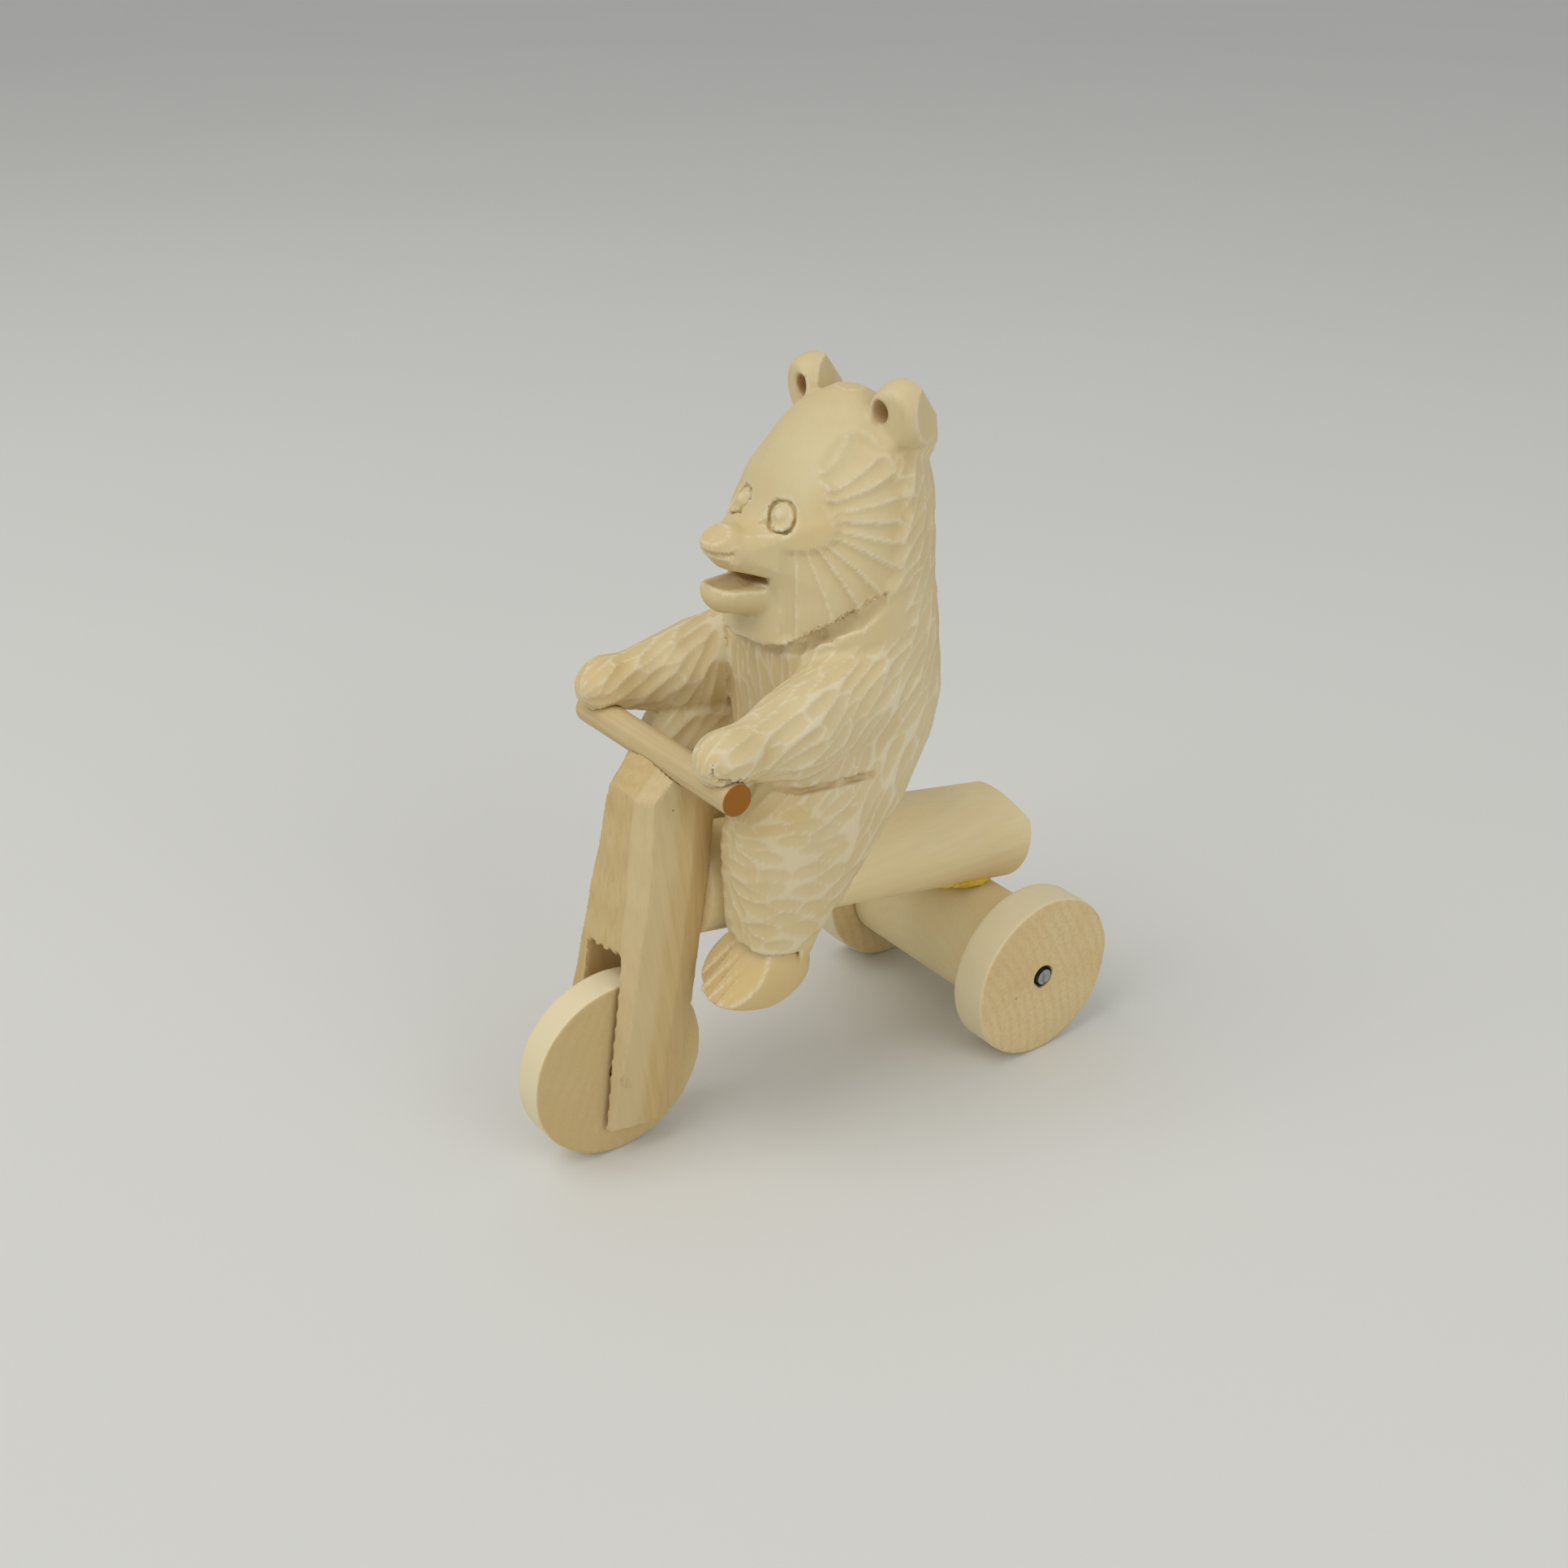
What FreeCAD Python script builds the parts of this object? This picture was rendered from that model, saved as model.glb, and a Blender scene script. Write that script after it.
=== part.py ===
import FreeCAD, Part
import Sketcher
import os

from FreeCAD import Placement, Rotation, Vector

# A small carved toy: a wooden bear that rides a wooden tricycle.  The bear is one carving.  It straddles
# the round frame bar and leans on the handlebar.  The bar runs from the back of the slotted fork down to
# the rear axle block.  The front wheel turns on a wooden peg and each rear wheel on its own nail.
#
# Frame: millimetres, +Z up, the toy rolls towards -Y, and its own left side is +X.  The origin lies on
# the floor, half way between the foremost point of the front wheel and the rearmost of the rear wheels.

doc = FreeCAD.newDocument("bear_on_tricycle")
sheet = doc.addObject("Spreadsheet::Sheet", "sizes")

SIZES = [
    # the tricycle as a whole
    ("overall_length", 123.8, "front of the front wheel to back of the rear wheels"),
    ("rear_track", 56.6, "outer face to outer face of the rear wheels"),
    # front wheel
    ("front_wheel_dia", 37.0, "front wheel"),
    ("front_wheel_thick", 6.9, "front wheel"),
    ("front_bore_dia", 4.5, "hole in the front wheel, loose on its peg"),
    ("wheel_break", 0.5, "broken corner on every wheel rim"),
    # rear wheels
    ("rear_wheel_dia", 35.8, "rear wheels"),
    ("rear_wheel_thick", 8.4, "rear wheels"),
    ("rear_bore_dia", 2.2, "hole in a rear wheel, loose on its nail"),
    ("nail_pocket_dia", 4.6, "worn pocket round the nail head"),
    ("nail_pocket_depth", 1.4, "depth of that pocket"),
    # nails and front peg
    ("nail_dia", 1.8, "nail shank"),
    ("nail_head_dia", 3.4, "nail head"),
    ("nail_head_thick", 0.8, "nail head"),
    ("nail_grip", 12.0, "length of nail driven into the axle block"),
    ("front_peg_dia", 4.0, "wooden peg through the fork"),
    # rear axle block
    ("axle_block_dia", 23.4, "rear axle block"),
    ("wheel_gap", 0.4, "play between a rear wheel and the axle block, and under the nail head"),
    # frame bar
    ("bar_dia", 20.9, "frame bar"),
    ("bar_tilt", 10.7, "slope of the frame bar, falling to the rear, in degrees"),
    ("bar_tail", 12.5, "frame bar behind the rear axle, along the bar"),
    ("bar_seat_depth", 1.0, "how deep the frame bar sits in the axle block"),
    ("bar_end_chamfer", 1.2, "broken corners on the ends of the frame bar"),
    ("tail_facet_angle", 47.0, "slope of the knife cut on top of the bar's tail, in degrees"),
    ("tail_facet_depth", 6.2, "how far down the end face that cut reaches"),
    # fork
    ("fork_rake", 8.0, "lean of the fork, top to the rear, in degrees"),
    ("fork_length", 74.6, "length of the fork along its lean"),
    ("fork_ground_gap", 8.6, "height of the fork's front lower edge above the floor"),
    ("fork_lead", 4.37, "fork's front lower edge ahead of the front axle"),
    ("fork_depth", 15.2, "fork, front to back"),
    ("fork_top_depth", 13.8, "fork at its top, front to back"),
    ("fork_half_width", 9.5, "half width of the fork at its widest"),
    ("fork_top_half_width", 7.4, "half width of the fork at its top"),
    ("fork_tip_half_width", 6.9, "half width of the fork at its lower end"),
    ("fork_waist", 38.0, "height of the widest place above the lower end"),
    ("fork_shoulder", 60.0, "height at which the fork starts to narrow to its top"),
    ("fork_shoulder_half_width", 8.24, "half width of the fork at that height"),
    ("fork_facet", 5.0, "depth of the long facets down the front corners"),
    ("fork_back_break", 1.0, "broken corners down the fork's back"),
    ("slot_play", 1.55, "mean gap between the front wheel and a wall of its slot"),
    ("slot_offset", 0.5, "how far the slot stands to the right of the wheel's middle"),
    ("slot_headroom", 6.69, "top of the slot above the front wheel's rim"),
    ("fork_brow_angle", 39.0, "slope of the facet below the handlebar, in degrees"),
    ("fork_brow_drop", 1.68, "top of that facet below the handlebar's axis"),
    ("fork_top_back", 0.9, "how far the fork rises behind the handlebar's axis"),
    # handlebar
    ("handlebar_dia", 6.0, "handlebar"),
    ("handlebar_length", 48.2, "handlebar"),
    ("handlebar_height", 80.5, "axis of the handlebar above the floor"),
    ("handlebar_setback", 13.2, "axis of the handlebar behind the front axle"),
    # hidden pegs and glue
    ("peg_dia", 6.0, "hidden dowel pegs"),
    ("peg_length", 20.0, "hidden dowel pegs"),
    ("peg_end_gap", 0.5, "glue room at each end of a hidden peg"),
    ("glue_gap", 0.05, "glue line between faces that are glued together"),
    ("glue_bead_dia", 2.4, "bead of squeezed-out glue"),
    ("glue_bead_length", 11.0, "bead of squeezed-out glue"),
    ("glue_bead_side", 6.2, "glue bead to the left of the frame bar's axis"),
    # bear: heights are above the floor, and setbacks are behind the front axle
    ("torso_width", 45.0, "bear's body at its widest"),
    ("torso_depth", 38.4, "bear's body, front to back"),
    ("torso_height", 64.0, "bear's body, seat to neck"),
    ("torso_centre_height", 91.0, "middle of the body"),
    ("torso_setback", 53.4, "middle of the body"),
    ("rump_width", 40.0, "bear's rump"),
    ("rump_depth", 32.0, "bear's rump, front to back"),
    ("rump_height", 46.0, "bear's rump, top to bottom"),
    ("rump_centre_height", 68.0, "middle of the rump"),
    ("rump_setback", 50.0, "middle of the rump"),
    ("head_width", 36.0, "bear's head"),
    ("head_depth", 36.0, "bear's head, front to back"),
    ("head_height", 40.0, "bear's head, top to bottom"),
    ("head_setback", 50.8, "middle of the head"),
    ("head_centre_height", 117.6, "middle of the head"),
    ("ruff_width", 39.0, "fur of the cheeks"),
    ("ruff_depth", 32.0, "fur of the cheeks, front to back"),
    ("ruff_height", 30.0, "fur of the cheeks, top to bottom"),
    ("ruff_setback", 51.8, "middle of that fur"),
    ("ruff_drop", 8.0, "middle of that fur below the middle of the head"),
    ("muzzle_width", 15.0, "bear's muzzle"),
    ("muzzle_length", 20.0, "bear's muzzle, front to back"),
    ("muzzle_thick", 11.0, "bear's muzzle, top to bottom"),
    ("muzzle_setback", 24.8, "tip of the muzzle"),
    ("muzzle_centre_height", 115.0, "middle of the muzzle"),
    ("jaw_width", 9.0, "lower jaw"),
    ("jaw_length", 16.0, "lower jaw, front to back"),
    ("jaw_thick", 6.0, "lower jaw, top to bottom"),
    ("jaw_drop", 8.6, "lower jaw below the middle of the muzzle"),
    ("ear_dia", 12.4, "ears"),
    ("ear_depth", 11.0, "ears, front to back"),
    ("ear_spread", 25.0, "middle of one ear to middle of the other"),
    ("ear_centre_height", 138.0, "middle of the ears"),
    ("ear_setback", 57.2, "middle of the ears"),
    ("ear_hollow_dia", 4.6, "hollow in each ear"),
    ("ear_hollow_depth", 5.0, "hollow in each ear"),
    ("shoulder_dia", 16.0, "root of the arms"),
    ("shoulder_tuck", 2.0, "how far the root of an arm stands inside the line of its paw"),
    ("upper_arm_dia", 14.4, "arm at its root"),
    ("wrist_dia", 8.8, "arm at its paw"),
    ("paw_dia", 10.0, "paws"),
    ("arm_spread", 35.0, "middle of one arm to middle of the other"),
    ("arm_length", 34.0, "root of the arm to the middle of the paw"),
    ("paw_overhang", 1.5, "middle of a paw ahead of the handlebar's axis"),
    ("paw_lift", 6.6, "middle of a paw above the handlebar's axis"),
    ("arm_slope", 7.0, "fall of the arm from its root to the paw, in degrees"),
    ("leg_width", 15.4, "legs"),
    ("leg_spread", 33.0, "middle of one leg to middle of the other"),
    ("thigh_depth", 33.0, "thigh, front to back"),
    ("thigh_height", 44.0, "thigh, top to bottom"),
    ("thigh_centre_height", 70.0, "middle of the thigh"),
    ("thigh_setback", 35.4, "middle of the thigh"),
    ("shin_width", 14.4, "shins"),
    ("shin_depth", 17.5, "shin, front to back"),
    ("shin_height", 40.0, "shin, top to bottom"),
    ("shin_centre_height", 56.0, "middle of the shin"),
    ("shin_setback", 29.0, "middle of the shin"),
    ("foot_width", 13.4, "feet"),
    ("foot_length", 23.0, "feet"),
    ("foot_thick", 12.0, "feet"),
    ("foot_pitch", 28.0, "how far the toes point down, in degrees"),
    ("foot_centre_height", 40.5, "middle of the feet"),
    ("foot_setback", 24.0, "middle of the feet"),
]

for row, (alias, value, note) in enumerate(SIZES, start=1):
    sheet.set("A%d" % row, alias)
    sheet.set("B%d" % row, str(value))
    sheet.set("C%d" % row, note)
    sheet.setAlias("B%d" % row, alias)

# Places that several pieces share are worked out once, in the same sheet.
DERIVED = [
    ("front_axle_place", "=-overall_length / 2 + front_wheel_dia / 2"),
    ("rear_axle_place", "=overall_length / 2 - rear_wheel_dia / 2"),
    ("axle_block_length", "=rear_track - 2 * (rear_wheel_thick + wheel_gap)"),
    ("bar_height_at_rear",
     "=(rear_wheel_dia + axle_block_dia) / 2 - bar_seat_depth + bar_dia / 2 / cos(bar_tilt * 1 deg)"),
    ("handlebar_place", "=front_axle_place + handlebar_setback"),
    ("fork_place", "=front_axle_place - fork_lead"),
    ("slot_left", "=front_wheel_thick / 2 + slot_play - slot_offset"),
    ("slot_right", "=front_wheel_thick / 2 + slot_play + slot_offset"),
    ("torso_place", "=front_axle_place + torso_setback"),
    ("seat_along_bar", "=(rear_axle_place - torso_place) / cos(bar_tilt * 1 deg)"),
    ("bar_reach",
     "=((rear_axle_place - fork_place) * cos(fork_rake * 1 deg)"
     " - (bar_height_at_rear - fork_ground_gap) * sin(fork_rake * 1 deg) - fork_depth - glue_gap)"
     " / cos((bar_tilt - fork_rake) * 1 deg)"),
]
for row, (alias, formula) in enumerate(DERIVED, start=len(SIZES) + 1):
    sheet.set("A%d" % row, alias)
    sheet.set("B%d" % row, formula)
    sheet.setAlias("B%d" % row, alias)
doc.recompute()


def size(alias):
    """The present value of a size in the sheet."""
    return float(getattr(sheet, alias))


def bound(formula):
    """Write a formula on sheet aliases as FreeCAD wants it, with the sheet's name before each alias."""
    names = sorted((entry[0] for entry in SIZES + DERIVED), key=len, reverse=True)
    text, out, position = formula, "", 0
    while position < len(text):
        for name in names:
            before = text[position - 1] if position else " "
            if text.startswith(name, position) and not (before.isalnum() or before in "_."):
                after = text[position + len(name):position + len(name) + 1]
                if not (after.isalnum() or after == "_"):
                    out += "sizes." + name
                    position += len(name)
                    break
        else:
            out += text[position]
            position += 1
    return out


def bind(thing, prop, formula):
    thing.setExpression(prop, bound(formula))


def put(thing, x="0", y="0", z="0", axis=None, angle=None):
    """Bind an object's place, and turn it about an axis through that place."""
    if axis is not None:
        thing.Placement = Placement(Vector(), Rotation(Vector(*axis), 1))
        bind(thing, "Placement.Rotation.Angle", angle)
    for letter, formula in zip("xyz", (x, y, z)):
        bind(thing, "Placement.Base." + letter, formula)
    return thing


def primitive(kind, name, **formulas):
    thing = doc.addObject("Part::" + kind, name)
    for prop, formula in formulas.items():
        bind(thing, prop, formula)
    return thing


def cylinder(name, dia, length):
    return primitive("Cylinder", name, Radius="(%s) / 2" % dia, Height=length)


def ellipsoid(name, wide, deep, tall):
    """An ellipsoid given by its three full widths, along X, Y and Z."""
    return primitive("Ellipsoid", name, Radius1="(%s) / 2" % tall, Radius2="(%s) / 2" % wide,
                     Radius3="(%s) / 2" % deep)


def cross(name, dia, length, x, y, z):
    """A cylinder along X that starts at x."""
    return put(cylinder(name, dia, length), x, y, z, (0, 1, 0), "90")


def fused(name, pieces):
    thing = doc.addObject("Part::MultiFuse", name)
    thing.Shapes = pieces
    return thing


def joined(kind, name, pieces):
    """Fuse or cut pieces one after another, which is steadier for round masses than all at once."""
    whole = pieces[0]
    for piece in pieces[1:]:
        step = doc.addObject("Part::" + kind, name)
        step.Base = whole
        step.Tool = piece
        whole = step
    return whole


def cut(name, base, tool):
    thing = doc.addObject("Part::Cut", name)
    thing.Base = base
    thing.Tool = tool
    return thing


def both_sides(maker):
    """Make a piece on the left and again on the right."""
    return [maker("left", ""), maker("right", "-")]


FLIP = {"left": (0, 1, 0), "right": (0, -1, 0)}
OVERRUN = "2"  # how far a cutter runs past the wood, in mm
nodes = []


def node(thing, label):
    thing.Label = label
    nodes.append(thing)
    return thing


# ---------------------------------------------------------------- PartDesign helpers

def origin_plane(body, role):
    return next(feature for feature in body.Origin.OriginFeatures if feature.Role == role)


def sketch_on(body, role, name, offset=None):
    sketch = body.newObject("Sketcher::SketchObject", name)
    sketch.AttachmentSupport = [(origin_plane(body, role), "")]
    sketch.MapMode = "FlatFace"
    if offset is not None:
        bind(sketch, "AttachmentOffset.Base.z", offset)
    return sketch


def circle_sketch(body, role, name, dia, offset=None):
    sketch = sketch_on(body, role, name, offset)
    circle = sketch.addGeometry(Part.Circle(Vector(), Vector(0, 0, 1), 1.0), False)
    sketch.addConstraint(Sketcher.Constraint("Coincident", circle, 3, -1, 1))
    radius = sketch.addConstraint(Sketcher.Constraint("Radius", circle, 1.0))
    bind(sketch, "Constraints[%d]" % radius, "(%s) / 2" % dia)
    return sketch


def outline_sketch(body, role, name, corners, offset=None):
    """A closed polygon whose corners are pairs of formulas."""
    sketch = sketch_on(body, role, name, offset)
    points = [Vector(number(u), number(v), 0) for u, v in corners]
    count = len(points)
    for index in range(count):
        sketch.addGeometry(Part.LineSegment(points[index], points[(index + 1) % count]), False)
    for index in range(count):
        sketch.addConstraint(Sketcher.Constraint("Coincident", index, 2, (index + 1) % count, 1))
    for index, (u, v) in enumerate(corners):
        for kind, formula, value in (("DistanceX", u, points[index].x), ("DistanceY", v, points[index].y)):
            place = sketch.addConstraint(Sketcher.Constraint(kind, -1, 1, index, 1, value))
            bind(sketch, "Constraints[%d]" % place, formula)
    return sketch


def number(formula):
    """The present value of a formula on the sheet."""
    sheet.set("E1", "=" + formula)
    sheet.recompute()
    return float(sheet.get("E1"))


def pad(body, sketch, name, length, reverse=False, middle=False):
    feature = body.newObject("PartDesign::Pad", name)
    feature.Profile = sketch
    feature.Reversed = reverse
    feature.Midplane = middle
    bind(feature, "Length", length)
    return feature


def pocket(body, sketch, name, length=None, reverse=False, middle=False):
    feature = body.newObject("PartDesign::Pocket", name)
    feature.Profile = sketch
    feature.Reversed = reverse
    feature.Midplane = middle
    if length is None:
        feature.Type = 1
    else:
        bind(feature, "Length", length)
    return feature


def broken_rims(body, base, name, formula):
    """Chamfer the two round edges of a disc's rim."""
    doc.recompute()
    radius = max(edge.Curve.Radius for edge in base.Shape.Edges if hasattr(edge.Curve, "Radius"))
    rims = ["Edge%d" % (index + 1) for index, edge in enumerate(base.Shape.Edges)
            if hasattr(edge.Curve, "Radius") and edge.Closed and abs(edge.Curve.Radius - radius) < 1e-6]
    feature = body.newObject("PartDesign::Chamfer", name)
    feature.Base = (base, rims)
    bind(feature, "Size", formula)
    return feature


# ---------------------------------------------------------------- wheels

def wheel(label, dia, thick, bore, inner_face, y, outward, pocket_size=None):
    """A disc with a bore along X.  inner_face is its face nearer the middle of the toy."""
    body = doc.addObject("PartDesign::Body", label + "_body")
    disc = pad(body, circle_sketch(body, "YZ_Plane", label + "_rim", dia), label + "_disc", thick,
               reverse=outward < 0)
    rims = broken_rims(body, disc, label + "_corners", "wheel_break")
    body.Tip = rims
    pocket(body, circle_sketch(body, "YZ_Plane", label + "_hole", bore), label + "_bore", None,
           middle=True)
    if pocket_size is not None:
        pocket_dia, pocket_depth = pocket_size
        face = "%s(%s)" % ("" if outward > 0 else "-", thick)
        mouth = circle_sketch(body, "YZ_Plane", label + "_mouth", pocket_dia, face)
        pocket(body, mouth, label + "_pocket", pocket_depth, reverse=outward < 0)
    put(body, inner_face, y, "(%s) / 2" % dia)
    return node(body, label)


wheel("front_wheel", "front_wheel_dia", "front_wheel_thick", "front_bore_dia", "-front_wheel_thick / 2",
      "front_axle_place", 1)

for side, sign, outward in (("left", "", 1), ("right", "-", -1)):
    wheel("rear_wheel_" + side, "rear_wheel_dia", "rear_wheel_thick", "rear_bore_dia",
          "%s(rear_track / 2 - rear_wheel_thick)" % sign, "rear_axle_place", outward,
          ("nail_pocket_dia", "nail_pocket_depth"))

# ---------------------------------------------------------------- nails

for side, sign in (("left", ""), ("right", "-")):
    grip_end = "axle_block_length / 2 - nail_grip"
    under_head = "(rear_track / 2 - nail_pocket_depth + wheel_gap)"
    shank = cylinder("shank_" + side, "nail_dia", "%s - (%s)" % (under_head, grip_end))
    head = cylinder("head_" + side, "nail_head_dia", "nail_head_thick")
    for piece, start in ((shank, grip_end), (head, under_head)):
        put(piece, "%s(%s)" % (sign, start), "rear_axle_place", "rear_wheel_dia / 2", FLIP[side], "90")
    node(fused("rear_nail_%s_solid" % side, [shank, head]), "rear_nail_" + side)

# ---------------------------------------------------------------- rear axle block

block = cross("block_round", "axle_block_dia", "axle_block_length", "-axle_block_length / 2",
              "rear_axle_place", "rear_wheel_dia / 2")
bar_room = put(cylinder("bar_room", "bar_dia + 2 * glue_gap", "2 * axle_block_dia"),
               "0", "rear_axle_place - axle_block_dia", "bar_height_at_rear"
               " + axle_block_dia * tan(bar_tilt * 1 deg)", (1, 0, 0), "-90 - bar_tilt")
nail_holes = [cross("nail_hole_" + side, "nail_dia + 2 * glue_gap", "nail_grip + 2 * wheel_gap", start,
                    "rear_axle_place", "rear_wheel_dia / 2")
              for side, start in (("left", "axle_block_length / 2 - nail_grip - wheel_gap"),
                                  ("right", "-axle_block_length / 2 - wheel_gap"))]
node(cut("axle_block_solid", block, fused("axle_block_cuts", [bar_room] + nail_holes)),
     "rear_axle_block")

# ---------------------------------------------------------------- fork

# The fork has its own upright frame: X across, Y back from its front face, Z up from its lower end.
FORK_SECTIONS = [
    # name, height, half width, depth
    ("tip", "0", "fork_tip_half_width", "fork_depth"),
    ("waist", "fork_waist", "fork_half_width", "fork_depth"),
    ("shoulder", "fork_shoulder", "fork_shoulder_half_width", "fork_depth"),
    ("crown", "fork_length", "fork_top_half_width", "fork_top_depth"),
]

fork = doc.addObject("PartDesign::Body", "fork_body")
profiles = []
for name, height, half, depth in FORK_SECTIONS:
    corners = [("slot_left", "0"), (half, "fork_facet"), (half, depth + " - fork_back_break"),
               (half + " - fork_back_break", depth), ("fork_back_break - " + half, depth),
               ("-" + half, depth + " - fork_back_break"), ("-" + half, "fork_facet / 2"),
               ("fork_facet / 4 - " + half, "0")]
    profiles.append(outline_sketch(fork, "XY_Plane", "fork_" + name, corners, height))
loft = fork.newObject("PartDesign::AdditiveLoft", "fork_post")
loft.Profile = profiles[0]
loft.Sections = profiles[1:]
loft.Ruled = True

# Places of the axle and of the handlebar in the fork's own frame.
RAKE = "fork_rake * 1 deg"
BACK = "fork_lead"
RISE = "(front_wheel_dia / 2 - fork_ground_gap)"
AXLE_BACK = "(%s * cos(%s) - %s * sin(%s))" % (BACK, RAKE, RISE, RAKE)
AXLE_RISE = "(%s * sin(%s) + %s * cos(%s))" % (BACK, RAKE, RISE, RAKE)
SLOT_TOP = "(%s + front_wheel_dia / 2 + slot_headroom)" % AXLE_RISE
BAR_RUN = "(fork_lead + handlebar_setback)"
BAR_CLIMB = "(handlebar_height - fork_ground_gap)"
BAR_BACK = "(%s * cos(%s) - %s * sin(%s))" % (BAR_RUN, RAKE, BAR_CLIMB, RAKE)
BAR_RISE = "(%s * sin(%s) + %s * cos(%s))" % (BAR_RUN, RAKE, BAR_CLIMB, RAKE)

slot = outline_sketch(fork, "XZ_Plane", "fork_slot_outline",
                      [("-slot_right", "-" + OVERRUN), ("slot_left", "-" + OVERRUN),
                       ("slot_left", SLOT_TOP), ("-slot_right", SLOT_TOP)])
pocket(fork, slot, "fork_slot", None, middle=True)


def side_circle(name, dia, y, z):
    """A circle drawn on the fork's side view, in its own frame."""
    sketch = sketch_on(fork, "YZ_Plane", name)
    circle = sketch.addGeometry(Part.Circle(Vector(number(y), number(z), 0), Vector(0, 0, 1), 1.0), False)
    for kind, formula in (("DistanceX", y), ("DistanceY", z)):
        place = sketch.addConstraint(Sketcher.Constraint(kind, -1, 1, circle, 3, number(formula)))
        bind(sketch, "Constraints[%d]" % place, formula)
    radius = sketch.addConstraint(Sketcher.Constraint("Radius", circle, 1.0))
    bind(sketch, "Constraints[%d]" % radius, "(%s) / 2" % dia)
    return sketch


pocket(fork, side_circle("fork_peg_circle", "front_peg_dia + 2 * glue_gap", AXLE_BACK, AXLE_RISE),
       "fork_peg_hole", None, middle=True)
pocket(fork, side_circle("handlebar_circle", "handlebar_dia + 2 * glue_gap", BAR_BACK, BAR_RISE),
       "handlebar_groove", None, middle=True)

# The sloping facet below the handlebar, and the flat top behind it.
brow = outline_sketch(
    fork, "YZ_Plane", "fork_brow_outline",
    [("-" + OVERRUN, "fork_length + " + OVERRUN),
     ("-" + OVERRUN, "%s - fork_brow_drop - (%s + %s) * tan(fork_brow_angle * 1 deg)"
      % (BAR_RISE, BAR_BACK, OVERRUN)),
     (BAR_BACK, BAR_RISE + " - fork_brow_drop"),
     (BAR_BACK, BAR_RISE + " + fork_top_back"),
     ("fork_depth + " + OVERRUN, BAR_RISE + " + fork_top_back"),
     ("fork_depth + " + OVERRUN, "fork_length + " + OVERRUN)])
pocket(fork, brow, "fork_brow", None, middle=True)
doc.recompute()

put(fork, "0", "fork_place", "fork_ground_gap", (1, 0, 0), "-fork_rake")

# ---------------------------------------------------------------- frame bar

# The bar has its own frame too: it starts over the rear axle, with Z forward along the bar and Y up.
BAR_FRAME = ("0", "rear_axle_place", "bar_height_at_rear", (1, 0, 0), "90 - bar_tilt")


def in_bar_frame(thing, forward, up="0"):
    """Put a cylinder on the bar's axis, forward of the rear axle, pointing forward along the bar."""
    return put(thing, "0",
               "rear_axle_place - (%s) * cos(bar_tilt * 1 deg) + (%s) * sin(bar_tilt * 1 deg)" % (forward, up),
               "bar_height_at_rear + (%s) * sin(bar_tilt * 1 deg) + (%s) * cos(bar_tilt * 1 deg)"
               % (forward, up), (1, 0, 0), "90 - bar_tilt")


def upright_on_bar(thing, forward, up="0"):
    """Put a cylinder square across the bar, pointing up."""
    in_bar_frame(thing, forward, up)
    bind(thing, "Placement.Rotation.Angle", "-bar_tilt")
    return thing


bar = doc.addObject("PartDesign::Body", "bar_body")
round_bar = pad(bar, circle_sketch(bar, "XY_Plane", "bar_circle", "bar_dia", "-bar_tail"), "bar_round",
                "bar_tail + bar_reach + bar_dia * tan((bar_tilt - fork_rake) * 1 deg) + " + OVERRUN)
tail = broken_rims(bar, round_bar, "bar_corners", "bar_end_chamfer")
SPLAY = "(bar_tilt - fork_rake) * 1 deg"
front_cut = outline_sketch(
    bar, "YZ_Plane", "bar_front_outline",
    [("-bar_dia", "bar_reach - bar_dia * tan(%s)" % SPLAY), ("bar_dia", "bar_reach + bar_dia * tan(%s)" % SPLAY),
     ("bar_dia", "bar_reach + 2 * bar_dia"), ("-bar_dia", "bar_reach + 2 * bar_dia")])
pocket(bar, front_cut, "bar_front_cut", None, middle=True)
tail_cut = outline_sketch(
    bar, "YZ_Plane", "bar_tail_outline",
    [("bar_dia / 2 - tail_facet_depth", "-bar_tail"),
     ("bar_dia / 2 - tail_facet_depth", "-bar_tail - " + OVERRUN),
     ("bar_dia / 2 + " + OVERRUN, "-bar_tail - " + OVERRUN),
     ("bar_dia / 2 + " + OVERRUN,
      "-bar_tail + (tail_facet_depth + %s) / tan(tail_facet_angle * 1 deg)" % OVERRUN)])
pocket(bar, tail_cut, "bar_tail_facet", None, middle=True)
pocket(bar, circle_sketch(bar, "XY_Plane", "bar_peg_circle", "peg_dia + 2 * glue_gap",
                          "bar_reach - peg_length / 2 - peg_end_gap"),
       "bar_peg_hole", "peg_length", reverse=True)
put(bar, *BAR_FRAME)

PEG_START = "(bar_reach - peg_length / 2)"
fork_peg = in_bar_frame(cylinder("fork_peg_round", "peg_dia", "peg_length"), PEG_START)
node(fork_peg, "fork_peg")
fork_peg_room = in_bar_frame(cylinder("fork_peg_room", "peg_dia + 2 * glue_gap", "peg_length + peg_end_gap"),
                             PEG_START)
node(cut("fork_solid", fork, fork_peg_room), "fork")

seat_peg = upright_on_bar(cylinder("seat_peg_round", "peg_dia", "peg_length"), "seat_along_bar")
node(seat_peg, "seat_peg")
seat_peg_room = upright_on_bar(
    cylinder("seat_peg_room", "peg_dia + 2 * glue_gap", "peg_length + 2 * peg_end_gap"),
    "seat_along_bar", "-peg_end_gap")
node(cut("bar_solid", bar, seat_peg_room), "frame_bar")

# ---------------------------------------------------------------- front peg and handlebar

node(cross("front_peg_round", "front_peg_dia", "2 * fork_tip_half_width", "-fork_tip_half_width",
           "front_axle_place", "front_wheel_dia / 2"), "front_axle_peg")
node(cross("handlebar_round", "handlebar_dia", "handlebar_length", "-handlebar_length / 2",
           "handlebar_place", "handlebar_height"), "handlebar")

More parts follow.
